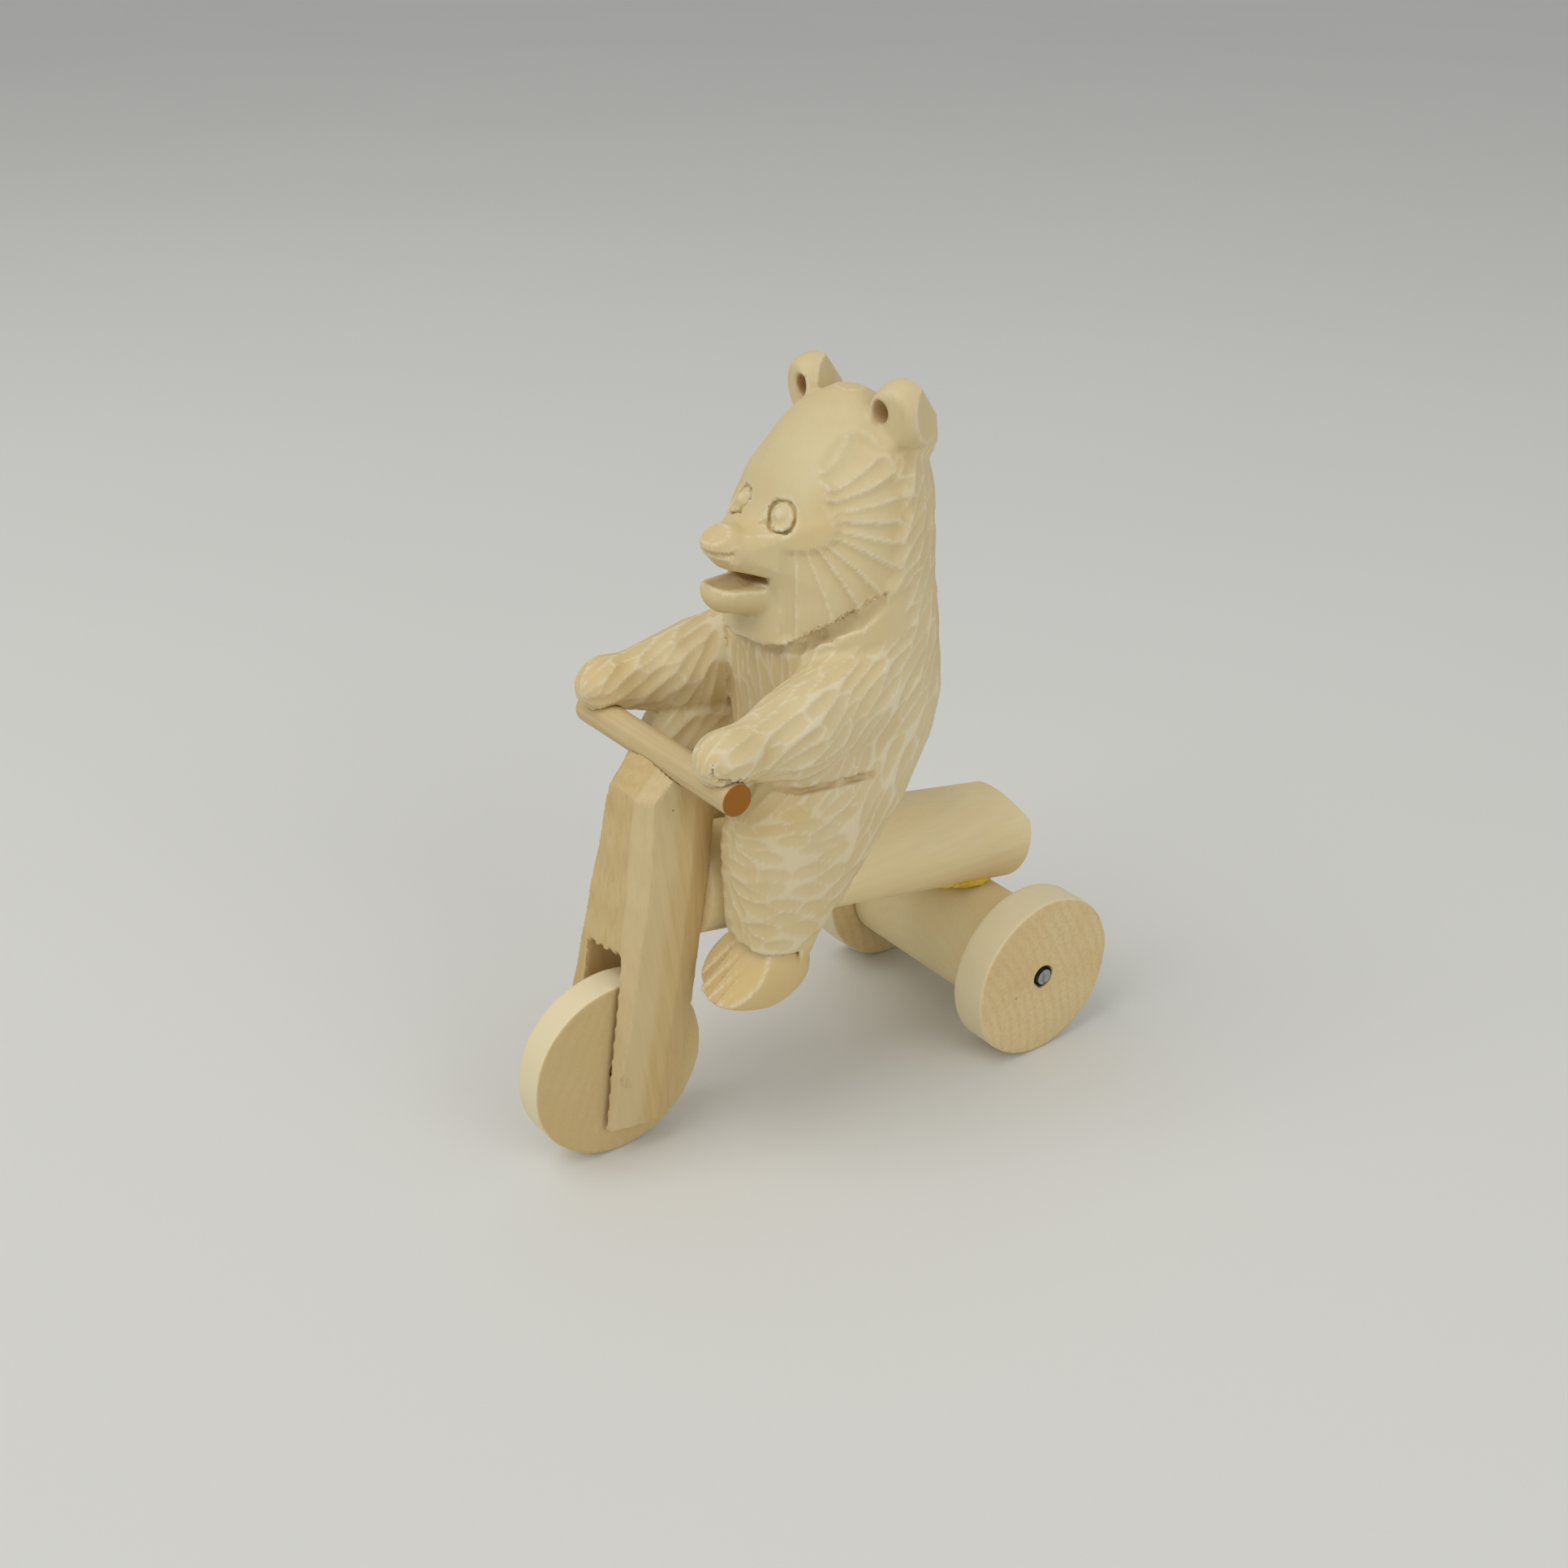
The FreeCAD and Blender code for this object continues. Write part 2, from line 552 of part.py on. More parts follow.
# ---------------------------------------------------------------- bear

def behind(setback):
    return "front_axle_place + (%s)" % setback


torso = put(ellipsoid("torso", "torso_width", "torso_depth", "torso_height"),
            "0", "torso_place", "torso_centre_height")
rump = put(ellipsoid("rump", "rump_width", "rump_depth", "rump_height"),
           "0", behind("rump_setback"), "rump_centre_height")
head = put(ellipsoid("head", "head_width", "head_depth", "head_height"),
           "0", behind("head_setback"), "head_centre_height")
ruff = put(ellipsoid("ruff", "ruff_width", "ruff_depth", "ruff_height"),
           "0", behind("ruff_setback"), "head_centre_height - ruff_drop")
muzzle = put(ellipsoid("muzzle", "muzzle_width", "muzzle_length", "muzzle_thick"),
             "0", behind("muzzle_setback + muzzle_length / 2"), "muzzle_centre_height")
jaw = put(ellipsoid("jaw", "jaw_width", "jaw_length", "jaw_thick"),
          "0", behind("muzzle_setback + jaw_length / 2"), "muzzle_centre_height - jaw_drop")


def ear(side, sign):
    disc = cylinder("ear_" + side, "ear_dia", "ear_depth")
    return put(disc, sign + "ear_spread / 2", behind("ear_setback + ear_depth / 2"), "ear_centre_height",
               (1, 0, 0), "90")


def ear_hollow(side, sign):
    hollow = cylinder("ear_hollow_" + side, "ear_hollow_dia", "ear_hollow_depth + " + OVERRUN)
    return put(hollow, sign + "ear_spread / 2", behind("ear_setback - ear_depth / 2 + ear_hollow_depth"),
               "ear_centre_height", (1, 0, 0), "90")


PAW = ("handlebar_place - paw_overhang", "handlebar_height + paw_lift")


def arm(side, sign):
    taper = primitive("Cone", "arm_" + side, Radius1="wrist_dia / 2", Radius2="upper_arm_dia / 2",
                      Height="arm_length")
    return put(taper, sign + "arm_spread / 2", PAW[0], PAW[1], (1, 0, 0), "-90 + arm_slope")


def paw(side, sign):
    return put(ellipsoid("paw_" + side, "paw_dia", "paw_dia", "paw_dia"),
               sign + "arm_spread / 2", PAW[0], PAW[1])


def shoulder(side, sign):
    return put(ellipsoid("shoulder_" + side, "shoulder_dia", "shoulder_dia", "shoulder_dia"),
               sign + "(arm_spread / 2 - shoulder_tuck)", PAW[0] + " + arm_length * cos(arm_slope * 1 deg)",
               PAW[1] + " + arm_length * sin(arm_slope * 1 deg)")


def thigh(side, sign):
    return put(ellipsoid("thigh_" + side, "leg_width", "thigh_depth", "thigh_height"),
               sign + "leg_spread / 2", behind("thigh_setback"), "thigh_centre_height")


def shin(side, sign):
    return put(ellipsoid("shin_" + side, "shin_width", "shin_depth", "shin_height"),
               sign + "leg_spread / 2", behind("shin_setback"), "shin_centre_height")


def foot(side, sign):
    return put(ellipsoid("foot_" + side, "foot_width", "foot_length", "foot_thick"),
               sign + "leg_spread / 2", behind("foot_setback"), "foot_centre_height", (1, 0, 0),
               "foot_pitch")


masses = [torso, rump, head, ruff, muzzle, jaw]
for maker in (ear, arm, paw, shoulder, thigh, shin, foot):
    masses += both_sides(maker)

# The bear is cut away where it sits on the bar, rests on the handlebar and takes its peg.
seat_room = in_bar_frame(cylinder("seat_room", "bar_dia + 2 * glue_gap", "bar_reach + bar_tail + bar_dia"),
                         "-bar_tail")
grip_room = cross("grip_room", "handlebar_dia + 2 * glue_gap", "handlebar_length + 2 * " + OVERRUN,
                  "-handlebar_length / 2 - " + OVERRUN, "handlebar_place", "handlebar_height")
bear_peg_room = upright_on_bar(
    cylinder("bear_peg_room", "peg_dia + 2 * glue_gap", "peg_length + peg_end_gap"), "seat_along_bar")
bear_mass = joined("Fuse", "bear_mass", masses)
node(joined("Cut", "bear_solid", [bear_mass, seat_room, grip_room, bear_peg_room] + both_sides(ear_hollow)),
     "bear")

# ---------------------------------------------------------------- glue

# Glue squeezed out along the left edge of the saddle, in the crevice between frame bar and axle block.
bead = in_bar_frame(cylinder("glue_bead_round", "glue_bead_dia", "glue_bead_length"),
                    "-glue_bead_length / 2",
                    "-sqrt((bar_dia / 2) ^ 2 - glue_bead_side ^ 2) - glue_bead_dia / 6")
bind(bead, "Placement.Base.x", "glue_bead_side")
node(joined("Cut", "glue_bead_solid", [bead, bar, block]), "glue_bead")

# ---------------------------------------------------------------- write the pieces

doc.recompute()
broken = [thing.Label for thing in doc.Objects if "Invalid" in thing.State or "Error" in thing.State]
if broken:
    raise RuntimeError("these failed to build: " + ", ".join(broken))
for thing in nodes:
    if thing.Shape.isNull() or not thing.Shape.isValid() or len(thing.Shape.Solids) != 1:
        raise RuntimeError("%s is not one valid solid" % thing.Label)

os.makedirs("parts", exist_ok=True)
for thing in nodes:
    thing.Shape.exportStep("parts/%s.step" % thing.Label)
    box = thing.Shape.BoundBox
    print("%-18s %9.1f mm3   x %6.1f %6.1f   y %6.1f %6.1f   z %6.1f %6.1f" % (
        thing.Label, thing.Shape.Volume, box.XMin, box.XMax, box.YMin, box.YMax, box.ZMin, box.ZMax))
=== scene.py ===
"""A carved limewood bear on a wooden tricycle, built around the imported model.

Lengths inside the carving functions are in millimetres, as a carver measures. Meshes are written in metres.
X runs across the toy, Y from the front wheel to the rear axle, Z upwards."""

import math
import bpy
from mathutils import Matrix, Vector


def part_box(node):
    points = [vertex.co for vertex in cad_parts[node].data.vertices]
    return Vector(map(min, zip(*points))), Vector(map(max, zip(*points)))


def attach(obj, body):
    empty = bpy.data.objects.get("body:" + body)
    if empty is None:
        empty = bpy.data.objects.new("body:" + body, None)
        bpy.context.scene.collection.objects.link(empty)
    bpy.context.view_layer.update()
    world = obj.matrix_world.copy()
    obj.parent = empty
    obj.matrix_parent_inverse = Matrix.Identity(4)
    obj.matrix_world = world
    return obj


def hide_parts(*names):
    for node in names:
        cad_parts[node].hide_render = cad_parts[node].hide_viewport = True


bl_info = {
    "name": "Carved Bear Tricycle",
    "version": (1, 0, 0),
    "blender": (4, 5, 0),
    "location": "View3D > Sidebar > Bear Tricycle",
    "description": "Builds a carved wooden bear on a tricycle around its CAD frame",
    "category": "Object",
}

import bmesh
import bpy
import numpy as np
from mathutils import Matrix, Vector

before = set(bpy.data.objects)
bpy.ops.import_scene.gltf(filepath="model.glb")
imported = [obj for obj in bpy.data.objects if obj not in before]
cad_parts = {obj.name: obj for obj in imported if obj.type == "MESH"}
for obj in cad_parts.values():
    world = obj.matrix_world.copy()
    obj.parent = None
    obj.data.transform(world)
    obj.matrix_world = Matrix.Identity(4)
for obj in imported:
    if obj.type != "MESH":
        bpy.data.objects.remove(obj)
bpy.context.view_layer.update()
MM = 0.001


def in_mm(corner):
    return np.array(corner, dtype=float) / MM


def box_of(node):
    low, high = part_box(node)
    return in_mm(low), in_mm(high)


def round_of(node):
    """Middle, half length and radius of a round node that lies along X."""
    low, high = box_of(node)
    return (low + high) / 2, (high - low)[0] / 2, (high - low)[2] / 2


# ---------------------------------------------------------------- solids as distance fields, in mm


def smooth_join(a, b, width):
    share = np.clip(0.5 + 0.5 * (b - a) / width, 0.0, 1.0)
    return b + (a - b) * share - width * share * (1.0 - share)


def smooth_meet(a, b, width):
    """What lies inside both a and b."""
    return smooth_join(a, b, -width)


def smooth_cut(solid, tool, width):
    """solid without what lies inside tool."""
    return -smooth_join(-solid, tool, width)


def row(values, points):
    return np.array(values, dtype=points.dtype)


def mirrored(points):
    """The same points with both halves of the toy folded onto +X."""
    folded = points.copy()
    folded[:, 0] = np.abs(folded[:, 0])
    return folded


def ball(points, centre, radii):
    q = points - row(centre, points)
    r = row(radii, points)
    near = np.sqrt(((q / r) ** 2).sum(1)) + 1e-6
    slope = np.sqrt(((q / (r * r)) ** 2).sum(1)) + 1e-6
    return near * (near - 1.0) / slope


def limb(points, start, end, start_radius, end_radius, flat=(1.0, 1.0, 1.0)):
    """A tapered round limb, stretched along the axes by flat."""
    stretch = row(flat, points)
    a, b, q = row(start, points) / stretch, row(end, points) / stretch, points / stretch
    axis = b - a
    along = np.clip(((q - a) @ axis) / (axis @ axis), 0.0, 1.0)
    away = np.sqrt(((q - a - along[:, None] * axis) ** 2).sum(1))
    return (away - start_radius - (end_radius - start_radius) * along) * min(flat)


def grooved(solid, points, line, radius, width):
    """solid with a round groove cut along a line of places."""
    for start, end in zip(line, line[1:]):
        solid = smooth_cut(solid, limb(points, start, end, radius, radius), width)
    return solid


def plane(points, point, normal):
    """Negative on the side that normal points away from."""
    n = row(normal, points)
    return (points - row(point, points)) @ (n / np.sqrt((n * n).sum()))


def stack(points, rows, power=2.0, soften=2.0):
    """Oval slices, each a row of height, front, back and half width, joined smoothly over the height."""
    rows = np.array(rows, dtype=float)
    step, reach = 0.25, 24  # height between samples in mm, and samples on either side in the smoothing
    heights = np.arange(rows[0, 0], rows[-1, 0] + step, step)
    kernel = np.exp(-0.5 * (np.arange(-reach, reach + 1) * step / soften) ** 2)
    kernel /= kernel.sum()
    columns = []
    for column in rows[:, 1:].T:
        line = np.pad(np.interp(heights, rows[:, 0], column), reach, mode="reflect", reflect_type="odd")
        columns.append(np.interp(points[:, 2], heights, np.convolve(line, kernel, mode="valid")))
    front, back, half = columns
    depth = (back - front) / 2
    u, v = np.abs(points[:, 0]) / half, np.abs(points[:, 1] - (front + back) / 2) / depth
    near = (u**power + v**power) ** (1.0 / power) + 1e-6
    slope = np.sqrt((u / half) ** 2 + (v / depth) ** 2) / near + 1e-6
    ends = np.maximum(points[:, 2] - rows[-1, 0], rows[0, 0] - points[:, 2])
    return np.maximum((near - 1.0) / slope, ends)


def surface_of(field, low, high, step, band=5.0, coarse=3, chunk=400000):
    """Corners and quads of the surface where field is nought. The field is worked out on a coarse grid
    first, and on the fine one only within band of the surface, chunk points at a time. Then each corner is
    moved onto the surface itself. The grid has to hold the whole surface."""
    low = np.array(low, dtype=float)
    counts = [int(math.ceil((h - l) / step / coarse)) * coarse + 1 for l, h in zip(low, high)]
    axes = [l + step * np.arange(n) for l, n in zip(low, counts)]
    corners = [(i, j, k) for i in (0, 1) for j in (0, 1) for k in (0, 1)]
    grid = np.stack(np.meshgrid(*[a[::coarse] for a in axes], indexing="ij"), -1)
    rough = field(grid.reshape(-1, 3).astype(np.float32)).reshape(grid.shape[:3])
    close = np.abs(rough) < band
    cells = np.zeros([n - 1 for n in rough.shape], bool)
    for corner in corners:
        cells |= close[tuple(slice(c, c + n) for c, n in zip(corner, cells.shape))]
    blown_up, cell_up = rough, cells
    for axis in range(3):
        blown_up = np.repeat(blown_up, coarse, axis)
        cell_up = np.repeat(cell_up, coarse, axis)
    values = blown_up[tuple(slice(0, n) for n in counts)].astype(np.float32)
    wanted = np.zeros(counts, bool)
    for corner in corners:
        wanted[tuple(slice(c, c + n) for c, n in zip(corner, cell_up.shape))] |= cell_up
    at = np.argwhere(wanted)
    fine = (low + step * at).astype(np.float32)
    values[tuple(at.T)] = np.concatenate([field(fine[i : i + chunk]) for i in range(0, len(fine), chunk)])

    inside = values < 0
    filled = np.zeros([n - 1 for n in counts], np.int8)
    for corner in corners:
        filled += inside[tuple(slice(c, c + n) for c, n in zip(corner, filled.shape))]
    cubes = np.argwhere((filled > 0) & (filled < 8))
    number = -np.ones(filled.shape, np.int32)
    number[tuple(cubes.T)] = np.arange(len(cubes))
    total, hits = np.zeros((len(cubes), 3)), np.zeros(len(cubes))
    for start in corners:
        for axis in range(3):
            if start[axis]:
                continue
            end = list(start)
            end[axis] = 1
            a, b = values[tuple((cubes + start).T)], values[tuple((cubes + end).T)]
            crossed = (a < 0) != (b < 0)
            place = np.tile(np.array(start, float), (len(cubes), 1))
            place[:, axis] = np.where(crossed, a / np.where(crossed, a - b, 1), 0)
            total[crossed] += place[crossed]
            hits[crossed] += 1
    verts = low + step * (cubes + total / hits[:, None])

    quads = []
    for axis in range(3):
        u, w = (axis + 1) % 3, (axis + 2) % 3
        lower, upper = [slice(None)] * 3, [slice(None)] * 3
        lower[axis], upper[axis] = slice(0, -1), slice(1, None)
        edges = np.argwhere(inside[tuple(lower)] != inside[tuple(upper)])
        going_out = inside[tuple(edges.T)]
        faces = []
        for du, dw in ((1, 1), (0, 1), (0, 0), (1, 0)):
            cube = edges.copy()
            cube[:, u] -= du
            cube[:, w] -= dw
            faces.append(number[tuple(cube.T)])
        faces = np.stack(faces, 1)
        faces[~going_out] = faces[~going_out][:, ::-1]
        quads.append(faces)
    longest, flattest = 0.3 * step, 0.05
    for _ in range(2):
        slope = gradient(field, verts)
        move = slope * (field(verts) / np.maximum((slope**2).sum(1), flattest))[:, None]
        verts -= np.clip(move, -longest, longest)
    return verts, np.concatenate(quads)


def gradient(field, points, reach=0.06):
    out = np.zeros_like(points)
    for axis in range(3):
        step = np.zeros(3)
        step[axis] = reach
        out[:, axis] = (field(points + step) - field(points - step)) / (2 * reach)
    return out


def unit(vectors):
    return vectors / np.maximum(np.sqrt((vectors**2).sum(-1, keepdims=True)), 1e-9)


def mark(mesh, label, values):
    """Give each corner of mesh a number under label."""
    mesh.attributes.new(label, "FLOAT", "POINT").data.foreach_set("value", np.asarray(values, np.float32))


def linked(name, data):
    """A new object of the scene."""
    made = bpy.data.objects.new(name, data)
    bpy.context.scene.collection.objects.link(made)
    return made


def new_piece(name, verts_mm, faces, material, sharp_from=None, **point_values):
    """A mesh object from corners in mm, with one number for each corner under each name in point_values."""
    mesh = bpy.data.meshes.new(name)
    mesh.from_pydata((np.asarray(verts_mm) * MM).tolist(), [], np.asarray(faces).tolist())
    mesh.materials.append(material)
    for label, values in point_values.items():
        mark(mesh, label, values)
    mesh.shade_smooth()
    if sharp_from:
        mesh.set_sharp_from_angle(angle=math.radians(sharp_from))
    mesh.update()
    return linked(name, mesh)


def finish_piece(piece, body, slot, *nodes):
    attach(piece, body)
    if nodes:
        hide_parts(*nodes)


# ---------------------------------------------------------------- node trees


class Value:
    """A socket that takes part in arithmetic: each operator adds one Math node."""

    def __init__(self, maker, node, output=0):
        self.maker, self.node, self.socket = maker, node, node.outputs[output]

    def out(self, output):
        return Value(self.maker, self.node, output)

    def math(self, operation, *values):
        return self.maker.add("ShaderNodeMath", dict(enumerate(values)), operation=operation)

    def __add__(self, other):
        return self.math("ADD", self, other)

    __radd__ = __add__

    def __sub__(self, other):
        return self.math("SUBTRACT", self, other)

    def __rsub__(self, other):
        return self.math("SUBTRACT", other, self)

    def __mul__(self, other):
        return self.math("MULTIPLY", self, other)

    __rmul__ = __mul__

    def __pow__(self, other):
        return self.math("POWER", self, other)


class Maker:
    """Adds nodes to one tree, settings first and then the values or links of the sockets."""

    def __init__(self, tree):
        self.tree = tree

    def add(self, kind, sockets=None, stops=None, **settings):
        node = self.tree.nodes.new(kind)
        for name, value in settings.items():
            setattr(node, name, value)
        if stops:
            ramp = node.color_ramp
            while len(ramp.elements) < len(stops):
                ramp.elements.new(1.0)
            for element, (place, colour) in zip(ramp.elements, stops):
                element.position = place
                element.color = (*colour, 1.0) if len(colour) == 3 else colour
        for socket, value in (sockets or {}).items():
            target = node.inputs[socket]
            if isinstance(value, Value):
                self.tree.links.new(value.socket, target)
            else:
                target.default_value = value
        return Value(self, node) if node.outputs else None

    def between(self, value, low, high, start=0.0, end=1.0):
        """value from low..high brought smoothly to start..end."""
        sockets = {"Value": value, "From Min": low, "From Max": high, "To Min": start, "To Max": end}
        return self.add("ShaderNodeMapRange", sockets, interpolation_type="SMOOTHSTEP")

    def mix(self, share, first, second, blend="MIX"):
        sockets = {0: share, 6: first, 7: second}
        return self.add("ShaderNodeMix", sockets, data_type="RGBA", blend_type=blend).out(2)

    def noise(self, vector, scale=1.0, detail=2.0, roughness=0.5):
        sockets = {"Vector": vector, "Scale": scale, "Detail": detail, "Roughness": roughness}
        return self.add("ShaderNodeTexNoise", sockets)

    def placed(self, vector, place=(0, 0, 0), turn=(0, 0, 0), scale=(1, 1, 1)):
        sockets = {"Vector": vector, "Location": place, "Rotation": turn, "Scale": scale}
        return self.add("ShaderNodeMapping", sockets, vector_type="POINT")


def empty_material(name):
    material = bpy.data.materials.new(name)
    material.use_nodes = True
    material.node_tree.nodes.clear()
    return material, Maker(material.node_tree)


def colour(values):
    return (*values, 1.0)


def darker(values, share):
    return tuple(v * share for v in values)


WOODS = {}


def wood(name, light, dark, turn, pith, ring_gap, ring_share, fibre, blotch, speck, rough, relief,
         stain=None, masks=()):
    """Bare limewood whose fibres run along the local Z of turn. The yearly rings lie round pith, ring_gap mm
    apart. relief is the depth of the grain in mm. Each mask is a corner attribute, the colour that it brings
    in and the share of that colour."""
    material, m = empty_material(name)
    place = m.add("ShaderNodeTexCoord").out("Object")
    grain = m.placed(m.placed(place, turn=turn), place=(*pith, 0.0), scale=(1000, 1000, 1000))
    wobble = m.noise(m.placed(grain, scale=(0.05, 0.05, 0.012)), 1.0, 2.0)
    parts = m.add("ShaderNodeSeparateXYZ", {0: grain})
    x, y = parts.out("X"), parts.out("Y")
    radius = (x * x + y * y) ** 0.5 + wobble * 6.0
    ring = (radius * (math.tau / ring_gap)).math("SINE", radius * (math.tau / ring_gap)) * 0.5 + 0.5
    streak = m.noise(m.placed(grain, scale=(1.1, 1.1, 0.035)), 1.0, 4.0, 0.6)
    thread = m.noise(m.placed(grain, scale=(5.0, 5.0, 0.16)), 1.0, 3.0, 0.6)
    patch = m.noise(m.placed(grain, scale=(0.07, 0.07, 0.04)), 1.0, 3.0, 0.55)
    cloud = m.noise(m.placed(grain, place=(40, 7, 3), scale=(0.03, 0.03, 0.02)), 1.0, 2.0, 0.5)
    shade = m.mix(m.between(patch, 0.35, 0.7) * blotch, colour(light), colour(dark))
    shade = m.mix(m.between(ring, 0.25, 1.0) * ring_share, shade, colour(darker(dark, 0.93)))
    shade = m.mix(m.between(streak, 0.42, 0.75) * fibre, shade, colour(darker(dark, 0.86)))
    shade = m.mix(m.between(thread, 0.55, 0.8) * fibre * 0.6, shade, colour(darker(dark, 0.75)))
    greenish = (light[0] * 0.93, light[1] * 0.99, light[2] * 0.97)
    shade = m.mix(m.between(cloud, 0.5, 0.72) * 0.35, shade, colour(greenish))
    if stain:
        spread = m.noise(m.placed(grain, place=(11, 5, 2), scale=(0.09, 0.09, 0.06)), 1.0, 4.0, 0.6)
        shade = m.mix(m.between(spread, 0.6, 0.74) * 0.5, shade, colour(stain))
    for label, tone, share in masks:
        mask = m.add("ShaderNodeAttribute", attribute_name=label).out("Fac")
        shade = m.mix(mask * share, shade, colour(tone))
    dots = m.add("ShaderNodeTexVoronoi", {"Vector": grain, "Scale": 0.11, "Randomness": 1.0})
    which = m.add("ShaderNodeSeparateColor", {0: dots.out("Color")}).out("Red")
    dot = (1.0 - m.between(dots, 0.02, 0.05)) * m.between(which, 0.72, 0.76)
    shade = m.mix(dot * speck, shade, colour(darker(dark, 0.3)))
    height = streak * 0.5 + thread * 0.35 + m.noise(grain, 0.9, 3.0) * 0.3
    bump = m.add("ShaderNodeBump", {"Strength": 0.7, "Distance": relief * MM, "Height": height})
    shader = m.add("ShaderNodeBsdfPrincipled", {
        "Base Color": shade, "Roughness": m.between(patch, 0.3, 0.7, rough - 0.06, rough + 0.08),
        "Normal": bump, "Specular IOR Level": 0.35, "Subsurface Weight": 0.0})
    m.add("ShaderNodeOutputMaterial", {"Surface": shader})
    return material


def nail_steel():
    material, m = empty_material("nail_steel")
    place = m.add("ShaderNodeTexCoord").out("Object")
    worn = m.noise(place, 900.0, 4.0)
    shade = m.mix(m.between(worn, 0.5, 0.75), colour((0.42, 0.43, 0.44)), colour((0.2, 0.17, 0.14)))
    bump = m.add("ShaderNodeBump", {"Strength": 0.4, "Distance": 0.00004, "Height": worn})
    shader = m.add("ShaderNodeBsdfPrincipled", {
        "Base Color": shade, "Metallic": 1.0, "Normal": bump,
        "Roughness": m.between(worn, 0.3, 0.7, 0.3, 0.55)})
    m.add("ShaderNodeOutputMaterial", {"Surface": shader})
    return material


def dried_glue():
    material, m = empty_material("dried_glue")
    place = m.add("ShaderNodeTexCoord").out("Object")
    cloudy = m.noise(place, 260.0, 3.0)
    dirt = m.between(m.noise(place, 800.0, 2.0), 0.64, 0.7)
    shade = m.mix(m.between(cloudy, 0.35, 0.65), colour((0.66, 0.44, 0.008)), colour((0.76, 0.58, 0.06)))
    shade = m.mix(dirt * 0.7, shade, colour((0.18, 0.1, 0.02)))
    bump = m.add("ShaderNodeBump", {"Strength": 0.5, "Distance": 0.0001, "Height": cloudy})
    shader = m.add("ShaderNodeBsdfPrincipled", {
        "Base Color": shade, "Roughness": m.between(cloudy, 0.3, 0.7, 0.28, 0.45), "Normal": bump})
    m.add("ShaderNodeOutputMaterial", {"Surface": shader})
    return material


# ---------------------------------------------------------------- the carved bear

# Slices: height, front, back, half width.
TORSO = [(44, -7, 6, 14), (55.5, -9.5, 12.5, 18), (65.5, -9.5, 19.4, 20.5), (72, -9.5, 23.4, 21.5),
         (79.5, -9.5, 27.0, 22), (86, -9.5, 28.3, 22), (96, -9.5, 27.6, 21.2), (104, -9.0, 27.2, 20),
         (110, -6, 26.4, 19), (120, 0, 25, 17), (126, 4, 20, 12)]
HEAD = [(98.3, -12.7, 25.5, 16.5), (104, -11.2, 26.2, 19.2), (110, -10.0, 26.7, 19.7),
        (116.4, -9.2, 26.6, 19.2), (119.4, -8.9, 26.6, 18.7), (122.2, -8.2, 26.8, 18),
        (127, -5.6, 25.6, 16.8), (131.6, -2.4, 23.8, 14.5), (135.2, 1.4, 21.6, 11.5), (138, 5, 19, 8),
        (140, 10, 14, 3)]
LEG = [(36, -22.5, -13.6, 5.4), (39.3, -23.8, -12.2, 6.4), (43, -24.8, -10.4, 7.0), (49.5, -25.6, -6.0, 7.4),
       (58.5, -26.4, 1.6, 7.7), (68, -26.8, 10, 7.7), (75, -24.5, 13, 7.0), (82, -18, 12, 5.0)]
LEG_MIDDLE = 16.2
# Knife lines: under the sleeve, and under the chin up to the ruff.
SLEEVE = [(23.1, -26.9, 82.4), (20.8, -19.8, 78.2), (22.1, -15.0, 76.8), (22.7, -9.2, 76.4),
          (22.8, -3.4, 76.0), (22.9, 0.6, 75.7)]
CHIN_EDGE = [(0, -10.2, 96.0), (6, -9.2, 97.3), (10.3, -6.9, 98.3), (13.6, -3.6, 101.0),
             (17.5, 0.9, 103.6), (19.3, 4.6, 106.6)]
CHIN_SHADOW = CHIN_EDGE[:4]  # the part of it that is dark
EYE = (6.0, -7.4, 121.2)
EYE_LOOK = (0.62, -0.76, 0.17)
# The ruff's strokes lie round the cheek like rays: their angles on the side view, in degrees from the
# back upwards, and where they start and end, as angles and distances from the cheek.
CHEEK = (-8.0, 122.0)
RUFF_ANGLES = (96, 85, 74, 62, 50, 37, 25, 13, 1, -12, -25, -39, -54, -69, -83, -96)
RUFF_INNER = ((-110, -43, -17, 14, 38, 55, 90), (5.3, 6.2, 6.0, 5.6, 8.4, 10.3, 10.8))
RUFF_OUTER = ((-92, -75, -47, -13, 8, 23, 49, 95), (22.0, 20.0, 18.3, 17.6, 18.0, 18.5, 17.0, 14.2))
CREST = 0.07  # a corner is on a crest while its two deepest strokes differ by less than about this
# The frame bar and the handlebar, as the bear and the fork are cut to fit them.
REAR_AXLE, BAR_HEIGHT, BAR_SLOPE, BAR_COSINE, SEAT_RADIUS = 44.0, 39.6, 0.18895, 0.9826, 10.52
HANDLEBAR_PLACE, HANDLEBAR_HEIGHT, GRIP_RADIUS = -30.2, 80.5, 3.08


def grip(points):
    """The groove for the handlebar."""
    y, z = points[:, 1] - HANDLEBAR_PLACE, points[:, 2] - HANDLEBAR_HEIGHT
    return np.sqrt(y**2 + z**2) - GRIP_RADIUS


def seat(points):
    """The hollow for the frame bar."""
    height = BAR_HEIGHT + (REAR_AXLE - points[:, 1]) * BAR_SLOPE
    return np.sqrt(points[:, 0] ** 2 + ((points[:, 2] - height) * BAR_COSINE) ** 2) - SEAT_RADIUS


def eye_axes(points):
    look = unit(row(EYE_LOOK, points))
    across = unit(np.cross(row((0, 0, 1), points), look))
    lift = np.cross(look, across)
    q = points - row(EYE, points)
    return q @ across, q @ lift, q @ look


